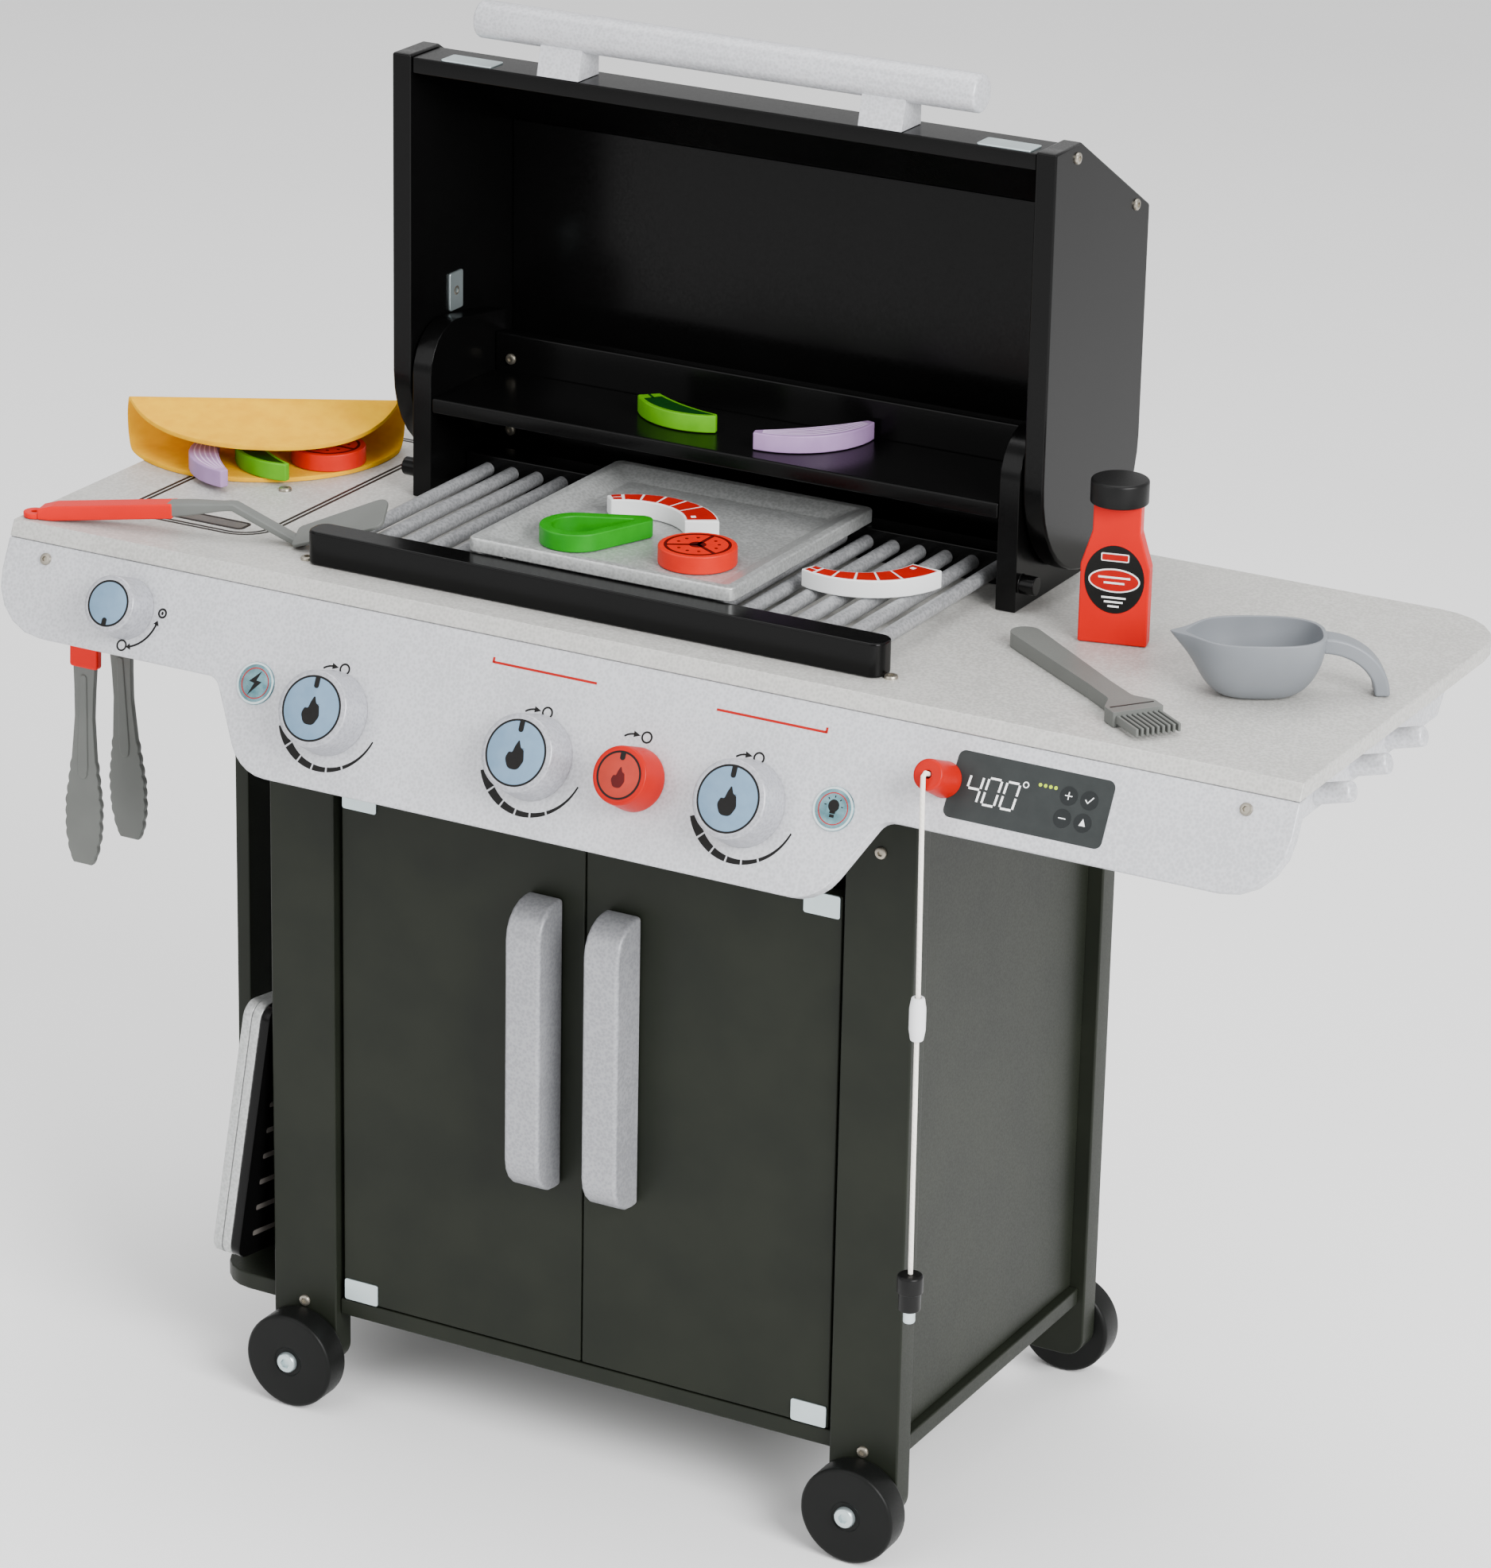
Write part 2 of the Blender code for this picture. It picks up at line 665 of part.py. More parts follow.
def make_probe_holder(root, red):
    """The red peg on the panel that the probe's cord comes out of."""
    bm = bmesh.new()
    profile = [
        (0.0, GAP), (HOLDER_RADIUS + KNOB_EDGE, GAP), (HOLDER_RADIUS, HOLDER_LENGTH - KNOB_EDGE),
        (HOLDER_RADIUS - KNOB_EDGE, HOLDER_LENGTH), (HOLDER_BORE_RADIUS, HOLDER_LENGTH),
        (HOLDER_BORE_RADIUS, HOLDER_LENGTH - HOLDER_BORE_DEPTH), (0.0, HOLDER_LENGTH - HOLDER_BORE_DEPTH),
    ]
    add_turned(bm, profile, KNOB_SIDES // 2)
    finish("probe_holder", bm, red, root, origin=on_panel(HOLDER_X, HOLDER_DROP), turn=panel_turn())


def add_wheel_bolt(bm, middle, near, out):
    """A bolt driven into a post, its shaft and low head pointing out along Y."""
    head = WHEEL_WIDTH + GAP
    profile = [
        (0.0, -BOLT_GRIP), (AXLE_RADIUS, -BOLT_GRIP), (AXLE_RADIUS, head), (BOLT_HEAD_RADIUS, head),
        (BOLT_HEAD_RADIUS * BOLT_CROWN_SHARE, head + BOLT_HEAD_HEIGHT), (0.0, head + BOLT_HEAD_HEIGHT),
    ]
    turn = Matrix.Translation((middle, near, WHEEL_Z)) @ Matrix.Rotation(-out * math.pi / 2, 4, "X")
    add_turned(bm, profile, PEG_SIDES, matrix=turn)


def make_posts(root, paint):
    """Front posts and rear legs, their bottom corners rounded."""
    for side, outer in mirrored(POST_HALF):
        inner = outer - side * POST_WIDTH
        bottom = FLOOR_Z + POST_LIFT
        corners = [
            (min(outer, inner), bottom, POST_CORNER), (max(outer, inner), bottom, POST_CORNER),
            (max(outer, inner), -GAP, 0.0), (min(outer, inner), -GAP, 0.0),
        ]
        word = "left" if side < 0 else "right"
        for name, front, near, out in (
            (f"front_{word}_post", POST_FRONT, POST_FRONT, -1),
            (f"rear_{word}_leg", LEG_FRONT, LEG_BACK, 1),
        ):
            bm = bmesh.new()
            add_prism(bm, round_corners(corners), front, front + POST_THICKNESS, "Y")
            bolt = bmesh.new()
            add_wheel_bolt(bolt, outer - side * POST_WIDTH / 2, near + out * RUNNING_GAP, out)
            finish(name, bm, paint, root, fused=bolt)


def make_base(root, paint):
    """The bottom board, notched round the posts and longer at the left for the storage bay."""
    left = HEAD_X - POST_HALF
    right = HEAD_X + POST_HALF
    post_back = POST_FRONT + POST_THICKNESS + GAP
    back = LEG_FRONT - GAP
    corners = [
        (BASE_LEFT, BASE_FRONT, BASE_CORNER),
        (left - GAP, BASE_FRONT, 0.0), (left - GAP, post_back, 0.0),
        (left + POST_WIDTH + GAP, post_back, 0.0), (left + POST_WIDTH + GAP, BASE_FRONT, 0.0),
        (right - POST_WIDTH - GAP, BASE_FRONT, 0.0), (right - POST_WIDTH - GAP, post_back, 0.0),
        (right - BASE_INSET, post_back, 0.0),
        (right - BASE_INSET, back, 0.0), (BASE_LEFT, back, BASE_CORNER / 2),
    ]
    bm = bmesh.new()
    add_prism(bm, round_corners(corners), BASE_TOP - BASE_THICKNESS, BASE_TOP)
    finish("bottom_board", bm, paint, root)


def make_cabinet_walls(root, paint):
    """Both side panels, the back panel and the outer board of the storage bay."""
    front = POST_FRONT + POST_THICKNESS + GAP
    back = LEG_FRONT - GAP
    for side, outer in mirrored(POST_HALF - SIDE_INSET):
        inner = outer - side * SIDE_THICKNESS
        bm = bmesh.new()
        add_box(bm, (min(outer, inner), front, BASE_TOP + GAP), (max(outer, inner), back, -GAP))
        finish("left_side_panel" if side < 0 else "right_side_panel", bm, paint, root)
    inside = POST_HALF - SIDE_INSET - SIDE_THICKNESS - GAP
    bm = bmesh.new()
    add_box(bm, (HEAD_X - inside, back - BACK_THICKNESS, BASE_TOP + GAP), (HEAD_X + inside, back, -GAP))
    finish("back_panel", bm, paint, root)
    outer = BASE_LEFT + BAY_BOARD_INSET
    bm = bmesh.new()
    add_box(
        bm, (outer, BASE_FRONT + BAY_BOARD_SETBACK, BASE_TOP + GAP),
        (outer + BAY_BOARD_THICKNESS, back - BASE_CORNER / 2, -GAP),
    )
    finish("storage_board", bm, paint, root)


def make_doors(root, paint, silver):
    """Two doors, each on a pivot near its outer edge, with a handle."""
    for side, outer in mirrored(DOOR_OUTER_HALF):
        word = "left" if side < 0 else "right"
        pivot = Vector((outer - side * DOOR_PIVOT_INSET, DOOR_FRONT + DOOR_THICKNESS / 2, DOOR_BOTTOM))
        meeting = HEAD_X + side * DOOR_MEETING_GAP / 2
        low, high = sorted((outer, meeting))
        bm = bmesh.new()
        add_box(
            bm, (low, DOOR_FRONT, DOOR_BOTTOM),
            (high, DOOR_FRONT + DOOR_THICKNESS, DOOR_BOTTOM + DOOR_HEIGHT),
        )
        finish(f"{word}_door", bm, paint, root, origin=pivot)

        centre = HEAD_X + side * HANDLE_OFFSET
        top = DOOR_BOTTOM + HANDLE_RISE + HANDLE_LENGTH
        handle_back = DOOR_FRONT - GAP
        handle_front = handle_back - HANDLE_DEPTH
        corners = [
            (handle_back, top - HANDLE_LENGTH, 0.0), (handle_front, top - HANDLE_LENGTH, HANDLE_CORNER),
            (handle_front, top, HANDLE_CORNER), (handle_back, top, 0.0),
        ]
        bm = bmesh.new()
        add_prism(bm, round_corners(corners), centre - HANDLE_WIDTH / 2, centre + HANDLE_WIDTH / 2, "X")
        finish(f"{word}_door_handle", bm, silver, root, origin=pivot)


def wheel_places():
    """Name, middle x, near face y and outward sign in Y of each wheel."""
    places = []
    for side, outer in mirrored(POST_HALF):
        middle = outer - side * POST_WIDTH / 2
        word = "left" if side < 0 else "right"
        places.append((f"front_{word}_wheel", middle, POST_FRONT - RUNNING_GAP, -1))
        places.append((f"rear_{word}_wheel", middle, LEG_BACK + RUNNING_GAP, 1))
    return places


def make_wheels(root, black):
    """Four solid wheels in front of and behind the posts, each turning on a bolt."""
    bore = AXLE_RADIUS + AXLE_CLEARANCE
    for name, middle, near, out in wheel_places():
        bm = bmesh.new()
        profile = [
            (bore, 0.0), (WHEEL_RADIUS - WHEEL_EDGE, 0.0), (WHEEL_RADIUS, WHEEL_EDGE),
            (WHEEL_RADIUS, WHEEL_WIDTH - WHEEL_EDGE), (WHEEL_RADIUS - WHEEL_EDGE, WHEEL_WIDTH),
            (bore, WHEEL_WIDTH),
        ]
        turn = Matrix.Rotation(-out * math.pi / 2, 4, "X")
        add_turned(bm, profile, WHEEL_SIDES, half_step=True)
        finish(name, bm, black, root, origin=(middle, near, WHEEL_Z), turn=turn)


def make_hook_rails(root, silver):
    """A rail under each end of the worktop with three pegs that tilt up."""
    corners = [
        (RAIL_FRONT, -GAP, 0.0), (RAIL_BACK, -GAP, 0.0), (RAIL_BACK - RAIL_SLOPE / 3, -RAIL_SLOPE, 0.0),
        (RAIL_BACK - RAIL_SLOPE, -GAP - RAIL_DEPTH, 0.0), (RAIL_FRONT, -GAP - RAIL_DEPTH, 0.0),
    ]
    for side in (-1, 1):
        inner, outer = side * RAIL_X, side * (RAIL_X + RAIL_THICKNESS)
        rail = bmesh.new()
        add_prism(rail, round_corners(corners), min(inner, outer), max(inner, outer), "X")
        direction = Vector((side * math.cos(HOOK_TILT), 0.0, math.sin(HOOK_TILT)))
        pegs = bmesh.new()
        for index in range(HOOK_COUNT):
            place = Vector((outer, HOOK_FIRST_Y + HOOK_PITCH * index, -HOOK_DROP))
            start = place - direction * HOOK_GRIP
            add_cylinder(pegs, start, place + direction * HOOK_LENGTH, HOOK_RADIUS, PEG_SIDES)
        word = "left" if side < 0 else "right"
        finish(f"{word}_hook_rail", rail, silver, root, fused=pegs)


def make_grate(root, black):
    """Two bars on the worktop with a row of rods between them."""
    bottom = DECK + GAP
    top = bottom + BAR_HEIGHT
    bm = bmesh.new()
    plan = rectangle(
        HEAD_X - FRONT_BAR_HALF, HEAD_X + FRONT_BAR_HALF, FRONT_BAR_Y, FRONT_BAR_Y + BAR_DEPTH, BAR_CORNER
    )
    add_prism(bm, round_corners(plan), bottom, top)
    reach = FIREBOX_INNER_HALF - GAP
    add_box(bm, (HEAD_X - reach, BACK_BAR_Y, bottom), (HEAD_X + reach, BACK_BAR_Y + BAR_DEPTH, top))
    rods = bmesh.new()
    for index in range(ROD_COUNT):
        x = HEAD_X + ROD_PITCH * (index - (ROD_COUNT - 1) / 2)
        start = Vector((x, FRONT_BAR_Y + BAR_DEPTH - ROD_GRIP, DECK + ROD_RISE))
        end = Vector((x, BACK_BAR_Y + ROD_GRIP, DECK + ROD_RISE))
        add_cylinder(rods, start, end, ROD_RADIUS, ROD_SIDES)
    finish("grate", bm, black, root, fused=rods)


def make_firebox(root, black):
    """The two boards beside the grate with the lid's pegs and pivots, the back wall and the shelf."""
    bottom = DECK + GAP
    top = DECK + FIREBOX_HEIGHT
    corners = [
        (FIREBOX_FRONT, bottom, 0.0), (FIREBOX_BACK, bottom, 0.0),
        (FIREBOX_BACK, top - FIREBOX_FALL, 0.0), (FIREBOX_FRONT + FIREBOX_CORNER, top, 0.0),
        (FIREBOX_FRONT, top, FIREBOX_CORNER * FIREBOX_ARC_SHARE),
    ]
    for side, outer in mirrored(FIREBOX_OUTER_HALF):
        inner = outer - side * FIREBOX_THICKNESS
        bm = bmesh.new()
        add_prism(bm, round_corners(corners, 6), min(outer, inner), max(outer, inner), "X")
        peg = bmesh.new()
        place = Vector((outer, REST_PEG_Y, DECK + REST_PEG_RISE))
        grip = Vector((-side * FIREBOX_THICKNESS / 2, 0.0, 0.0))
        reach = Vector((side * REST_PEG_LENGTH, 0.0, 0.0))
        add_cylinder(peg, place + grip, place + reach, REST_PEG_RADIUS, PEG_SIDES)
        hub = Vector((outer, LID_PIVOT_Y, LID_PIVOT_Z))
        washer = Vector((side * (CHEEK_INNER_HALF - FIREBOX_OUTER_HALF - GAP), 0.0, 0.0))
        add_cylinder(peg, hub + grip, hub + washer, PIVOT_RADIUS, PEG_SIDES)
        name = "firebox_left_board" if side < 0 else "firebox_right_board"
        finish(name, bm, black, root, fused=peg)
    reach = FIREBOX_INNER_HALF - GAP
    bm = bmesh.new()
    add_box(
        bm, (HEAD_X - reach, FIREBOX_WALL_Y, bottom),
        (HEAD_X + reach, FIREBOX_WALL_Y + FIREBOX_WALL_THICKNESS, DECK + FIREBOX_WALL_HEIGHT),
    )
    finish("firebox_back", bm, black, root)
    bm = bmesh.new()
    add_box(
        bm, (HEAD_X - reach, FIREBOX_FRONT, DECK + SHELF_HEIGHT),
        (HEAD_X + reach, FIREBOX_WALL_Y - GAP, SHELF_TOP),
    )
    finish("warming_shelf", bm, black, root)


def offset_path(path, distance):
    """Moves an open path to its right by a distance, with mitred corners."""
    points = [Vector(point) for point in path]
    normals = []
    for start, end in zip(points, points[1:]):
        along = (end - start).normalized()
        normals.append(Vector((along.y, -along.x)))
    moved = [points[0] + normals[0] * distance]
    for index in range(1, len(points) - 1):
        both = (normals[index - 1] + normals[index]).normalized()
        moved.append(points[index] + both * (distance / both.dot(normals[index])))
    moved.append(points[-1] + normals[-1] * distance)
    return moved


def lid_shell_boards():
    """The outlines of the top, sloped and back boards, mitred where they meet."""
    path = [
        (CHEEK_FRONT + LID_BOARD_INSET, CHEEK_TOP), (CHEEK_BEND_Y, CHEEK_TOP),
        (CHEEK_BACK, CHEEK_BEND_Z), (CHEEK_BACK, LID_BACK_BOTTOM),
    ]
    outer = offset_path(path, LID_BOARD_INSET)
    inner = offset_path(path, LID_BOARD_INSET + LID_BOARD_THICKNESS)
    boards = []
    for index in range(len(path) - 1):
        along = (outer[index + 1] - outer[index]).normalized() * GAP
        start = along if index > 0 else along * 0.0
        end = along if index < len(path) - 2 else along * 0.0
        boards.append([
            outer[index] + start, outer[index + 1] - end, inner[index + 1] - end, inner[index] + start,
        ])
    return boards


def make_lid(root, black, silver):
    """Two cheeks with three boards between them and the handle on top."""
    middle = (CHEEK_FRONT + CHEEK_BACK) / 2
    radius = (CHEEK_BACK - CHEEK_FRONT) / 2
    round_centre = Vector((middle, CHEEK_ROUND_Z))
    corners = ((CHEEK_FRONT, CHEEK_TOP), (CHEEK_BEND_Y, CHEEK_TOP), (CHEEK_BACK, CHEEK_BEND_Z))
    outline = [Vector(corner) for corner in corners]
    arc_steps = 18
    for step in range(arc_steps + 1):
        angle = -math.pi * step / arc_steps
        outline.append(round_centre + Vector((math.cos(angle), math.sin(angle))) * radius)
    for side, inner in mirrored(CHEEK_INNER_HALF):
        outer = inner + side * CHEEK_THICKNESS
        bm = bmesh.new()
        add_prism(bm, outline, min(outer, inner), max(outer, inner), "X")
        finish("lid_left_cheek" if side < 0 else "lid_right_cheek", bm, black, root, origin=LID_PIVOT)

    for name, board in zip(("lid_top_board", "lid_sloped_board", "lid_back_board"), lid_shell_boards()):
        bm = bmesh.new()
        add_prism(bm, board, HEAD_X - LID_BOARD_HALF, HEAD_X + LID_BOARD_HALF, "X")
        finish(name, bm, black, root, origin=LID_PIVOT)

    make_lid_handle(root, silver)


def make_lid_handle(root, silver):
    """A round bar seated in the grooved tops of two blocks."""
    bottom = CHEEK_TOP - LID_BOARD_INSET + GAP
    axis_z = CHEEK_TOP - LID_BOARD_INSET + LID_BAR_RISE
    front = LID_BAR_Y - LID_BLOCK_DEPTH / 2
    back = front + LID_BLOCK_DEPTH
    top = bottom + LID_BLOCK_HEIGHT
    groove = LID_BAR_RADIUS * LID_GROOVE_SHARE
    spread = math.acos((axis_z - top) / groove)
    arc = []
    for step in range(ARC_STEPS + 1):
        angle = -math.pi / 2 - spread + 2 * spread * step / ARC_STEPS
        arc.append(Vector((LID_BAR_Y + groove * math.cos(angle), axis_z + groove * math.sin(angle))))
    outline = [
        Vector((front, bottom)), Vector((front + LID_BLOCK_LEAN, top)), *arc,
        Vector((back, top)), Vector((back, bottom)),
    ]
    blocks = bmesh.new()
    for _, middle in mirrored(LID_BLOCK_OFFSET):
        add_prism(blocks, outline, middle - LID_BLOCK_WIDTH / 2, middle + LID_BLOCK_WIDTH / 2, "X")
    start = Vector((HEAD_X - LID_BAR_LENGTH / 2, LID_BAR_Y, axis_z))
    bm = bmesh.new()
    add_cylinder(bm, start, start + Vector((LID_BAR_LENGTH, 0.0, 0.0)), LID_BAR_RADIUS, LID_BAR_SIDES)
    finish("lid_handle", bm, silver, root, origin=LID_PIVOT, fused=blocks)


def smooth_route(points, count):
    """Reads evenly spaced points from a Catmull-Rom curve through the given points."""
    padded = [points[0] * 2 - points[1], *points, points[-1] * 2 - points[-2]]
    dense = []
    pieces = 24
    for index in range(len(points) - 1):
        a, b, c, d = padded[index:index + 4]
        for step in range(pieces):
            t = step / pieces
            dense.append(0.5 * (
                2 * b + (c - a) * t + (2 * a - 5 * b + 4 * c - d) * t * t
                + (3 * b - a - 3 * c + d) * t * t * t
            ))
    dense.append(points[-1].copy())
    lengths = [0.0]
    for start, end in zip(dense, dense[1:]):
        lengths.append(lengths[-1] + (end - start).length)
    route = []
    place = 0
    for step in range(count):
        target = lengths[-1] * step / (count - 1)
        while place < len(dense) - 2 and lengths[place + 1] < target:
            place += 1
        span = lengths[place + 1] - lengths[place]
        route.append(dense[place].lerp(dense[place + 1], (target - lengths[place]) / span))
    return route


def add_cord(curve, points, count):
    """One stretch of cord as a poly spline."""
    route = smooth_route(points, count)
    spline = curve.splines.new("POLY")
    spline.points.add(len(route) - 1)
    for point, place in zip(spline.points, route):
        point.co = (*place, 1.0)


def make_probe(root, white, bead_white, black):
    """The cord from the holder down to the probe, with a sliding bead on it."""
    start = on_panel(HOLDER_X, HOLDER_DROP, HOLDER_LENGTH - HOLDER_BORE_DEPTH + GAP * 2)
    out = on_panel(HOLDER_X, HOLDER_DROP, HOLDER_LENGTH + CORD_REACH)
    hang = Vector((out.x, out.y - CORD_BEND / 4, out.z - CORD_BEND))
    drift = Vector((CORD_DRIFT, 0.0, 0.0))
    bead_top = Vector((hang.x, hang.y, BEAD_TOP)) + drift * BEAD_DRIFT_SHARE
    bead_end = bead_top - Vector((0.0, 0.0, BEAD_LENGTH))
    probe_top = Vector((hang.x, hang.y, PROBE_TOP)) + drift
    curve = bpy.data.curves.new("probe_cord", "CURVE")
    curve.dimensions = "3D"
    curve.bevel_depth = CORD_RADIUS
    curve.bevel_resolution = 2
    curve.use_fill_caps = True
    clear = Vector((0.0, 0.0, GAP))
    route = [
        start, out, hang, (hang + bead_top) / 2, bead_top, bead_end,
        (bead_end + probe_top) / 2, probe_top + clear,
    ]
    add_cord(curve, route, CORD_POINTS)
    curve.materials.append(white)
    cord = bpy.data.objects.new("probe_cord", curve)
    bpy.context.scene.collection.objects.link(cord)
    cord.parent = root

    bm = bmesh.new()
    half = BEAD_LENGTH / 2
    waist = (BEAD_RADIUS + BEAD_BORE_RADIUS) / 2
    profile = [
        (BEAD_BORE_RADIUS, -half), (waist, -half), (BEAD_RADIUS, -half / 2), (BEAD_RADIUS, half / 2),
        (waist, half), (BEAD_BORE_RADIUS, half),
    ]
    add_turned(bm, profile, PEG_SIDES)
    finish("cord_bead", bm, bead_white, root, origin=(bead_top + bead_end) / 2, turn=Matrix())

    bm = bmesh.new()
    waist = PROBE_RADIUS * PROBE_WAIST_SHARE
    profile = [
        (0.0, -PROBE_LENGTH - PROBE_TIP_LENGTH), (PROBE_TIP_RADIUS, -PROBE_LENGTH - PROBE_TIP_LENGTH),
        (PROBE_TIP_RADIUS, -PROBE_LENGTH), (waist, -PROBE_LENGTH), (waist, -PROBE_LENGTH / 2),
        (PROBE_RADIUS, -PROBE_LENGTH / 2), (PROBE_RADIUS, 0.0), (0.0, 0.0),
    ]
    add_turned(bm, profile, PEG_SIDES + 2)
    finish("probe", bm, black, root, origin=probe_top, turn=Matrix())


def make_tray(root, silver):
    """The tray across both bars: a flat rim, sloped walls and a sunk floor."""
    half = TRAY_SIZE / 2
    inner = half - TRAY_RIM
    low = inner - TRAY_SLOPE
    loops = []
    for reach, height in (
        (half, 0.0), (half, TRAY_HEIGHT), (inner, TRAY_HEIGHT), (low, TRAY_HEIGHT - TRAY_RECESS),
    ):
        corners = rectangle(-reach, reach, -reach, reach, TRAY_CORNER * reach / half)
        loops.append([(a, b, height) for a, b in round_corners(corners)])
    bm = bmesh.new()
    add_loops(bm, loops)
    finish("tray", bm, silver, root, origin=(TRAY_X, TRAY_Y, TRAY_Z), turn=Matrix())


def make_plates(root, paint):
    """Three square plates in the storage bay that lean on the front post."""
    turn = Matrix.Rotation(PLATE_YAW, 4, "Z") @ Matrix.Rotation(PLATE_LEAN, 4, "Y")
    tip = Matrix.Rotation(-PLATE_TIP, 4, "X")
    pitch = PLATE_THICKNESS + GAP
    stack = PLATE_COUNT * pitch
    outline = round_corners(rectangle(0.0, PLATE_SIZE, 0.0, PLATE_SIZE, PLATE_CORNER))
    reach = PLATE_SIZE * math.sin(PLATE_LEAN) + PLATE_REAR_ROOM
    foot_x = HEAD_X - POST_HALF - GAP * 2 - reach
    rise = (PLATE_SIZE - PLATE_CORNER) * math.sin(PLATE_TIP) + PLATE_CORNER * (1 - math.cos(PLATE_TIP))
    matrix = Matrix.Translation((foot_x, PLATE_FRONT, BASE_TOP + GAP)) @ turn
    for index in range(PLATE_COUNT):
        bm = bmesh.new()
        low = pitch * index
        drop = -(stack - low - pitch) * math.tan(PLATE_LEAN)
        slid = matrix @ Matrix.Translation((-stack, 0.0, rise + drop)) @ tip
        add_prism(bm, outline, low, low + PLATE_THICKNESS, "X", slid)
        finish(f"stored_plate_{index + 1}", bm, paint, root)


def make_food(root, paints):
    """The play food on the tray, on the rods and on the warming shelf."""
    shrimp = thick_arc(SHRIMP_LENGTH, math.radians(-105), (SHRIMP_TAIL, SHRIMP_BODY, SHRIMP_HEAD))
    chili = thick_arc(CHILI_LENGTH, math.radians(60), (CHILI_STALK, CHILI_BODY, CHILI_TIP))
    onion = thick_arc(ONION_LENGTH, math.radians(62), (ONION_TIP, ONION_WIDTH, ONION_TIP))
    pepper = teardrop(PEPPER_RADIUS, PEPPER_TIP_RADIUS, PEPPER_LENGTH)
    disc = [
        Vector((TOMATO_RADIUS * math.cos(angle), TOMATO_RADIUS * math.sin(angle)))
        for angle in (2 * math.pi * step / KNOB_SIDES for step in range(KNOB_SIDES))
    ]
    tray_z = TRAY_FLOOR + GAP
    rod_z = ROD_TOP + GAP
    shelf_z = SHELF_TOP + GAP
    upside = Matrix.Translation((0.0, 0.0, FOOD_THICKNESS)) @ Matrix.Rotation(math.pi, 4, "X")
    slices = [
        ("tray_shrimp", shrimp, "white", flat_place(*TRAY_SHRIMP_XY, tray_z, TRAY_SHRIMP_TURN)),
        ("tray_pepper", pepper, "green", flat_place(*TRAY_PEPPER_XY, tray_z, TRAY_PEPPER_TURN)),
        ("tray_tomato", disc, "red", flat_place(*TRAY_TOMATO_XY, tray_z, 0.0)),
        ("grate_shrimp", shrimp, "white", flat_place(*GRATE_SHRIMP_XY, rod_z, GRATE_SHRIMP_TURN) @ upside),
        ("shelf_chili", chili, "green", flat_place(*SHELF_CHILI_XY, shelf_z, SHELF_CHILI_TURN)),
        ("shelf_onion", onion, "white", flat_place(*SHELF_ONION_XY, shelf_z, SHELF_ONION_TURN)),
    ]
    for name, outline, colour, place in slices:
        bm = bmesh.new()
        add_prism(bm, outline, 0.0, FOOD_THICKNESS)
        finish(name, bm, paints[colour], root, origin=place.translation, turn=place.to_3x3().to_4x4())
    return chili, onion, disc


def tortilla_section(distance):
    """Forward reach and height of the felt's middle at a distance from the fold along the sheet."""
    quarter = math.pi * TORTILLA_FOLD_RADIUS / 2
    low = TORTILLA_THICKNESS / 2 + GAP
    if distance < -quarter:
        return -(-distance - quarter), low
    if distance <= quarter:
        angle = distance / TORTILLA_FOLD_RADIUS
        return TORTILLA_FOLD_RADIUS * math.cos(angle), low + TORTILLA_FOLD_RADIUS * (1 + math.sin(angle))
    run = distance - quarter
    flap = TORTILLA_RADIUS - quarter
    droop = TORTILLA_DROOP * math.sin(math.pi / 2 * min(run / flap, 1.0))
    return -run, low + 2 * TORTILLA_FOLD_RADIUS - droop


def make_tortilla(root, felt, paints, outlines):
    """A felt disc folded over an onion slice, a chili slice and a tomato slice."""
    chili, onion, disc = outlines
    rows, columns = TORTILLA_ROWS, TORTILLA_COLUMNS
    limit = TORTILLA_RADIUS * TORTILLA_LIMIT_SHARE
    bm = bmesh.new()
    grid = []
    for row in range(rows + 1):
        distance = limit * math.sin(math.pi * (row / rows - 0.5))
        reach = math.sqrt(TORTILLA_RADIUS ** 2 - distance ** 2)
        y, z = tortilla_section(distance)
        across = [reach * (2 * column / columns - 1) for column in range(columns + 1)]
        grid.append([bm.verts.new((x, y, z)) for x in across])
    for upper, lower in zip(grid, grid[1:]):
        for column in range(columns):
            bm.faces.new((upper[column], upper[column + 1], lower[column + 1], lower[column]))
    place = flat_place(TORTILLA_X, TORTILLA_Y, DECK, TORTILLA_TURN)
    turn = Matrix.Rotation(TORTILLA_TURN, 4, "Z")
    obj = finish("tortilla", bm, felt, root, origin=place.translation, turn=turn)
    solid = obj.modifiers.new("felt", "SOLIDIFY")
    solid.thickness = TORTILLA_THICKNESS
    solid.offset = 0.0

    level = TORTILLA_THICKNESS + GAP * 2
    for name, outline, colour, (x, y), turn in (
        ("filling_onion", onion, "white", FILLING_ONION_XY, FILLING_ONION_TURN),
        ("filling_chili", chili, "green", FILLING_CHILI_XY, FILLING_CHILI_TURN),
        ("filling_tomato", disc, "red", FILLING_TOMATO_XY, 0.0),
    ):
        bm = bmesh.new()
        add_prism(bm, outline, 0.0, FOOD_THICKNESS, matrix=place @ flat_place(x, y, level, turn))
        finish(name, bm, paints[colour], root)


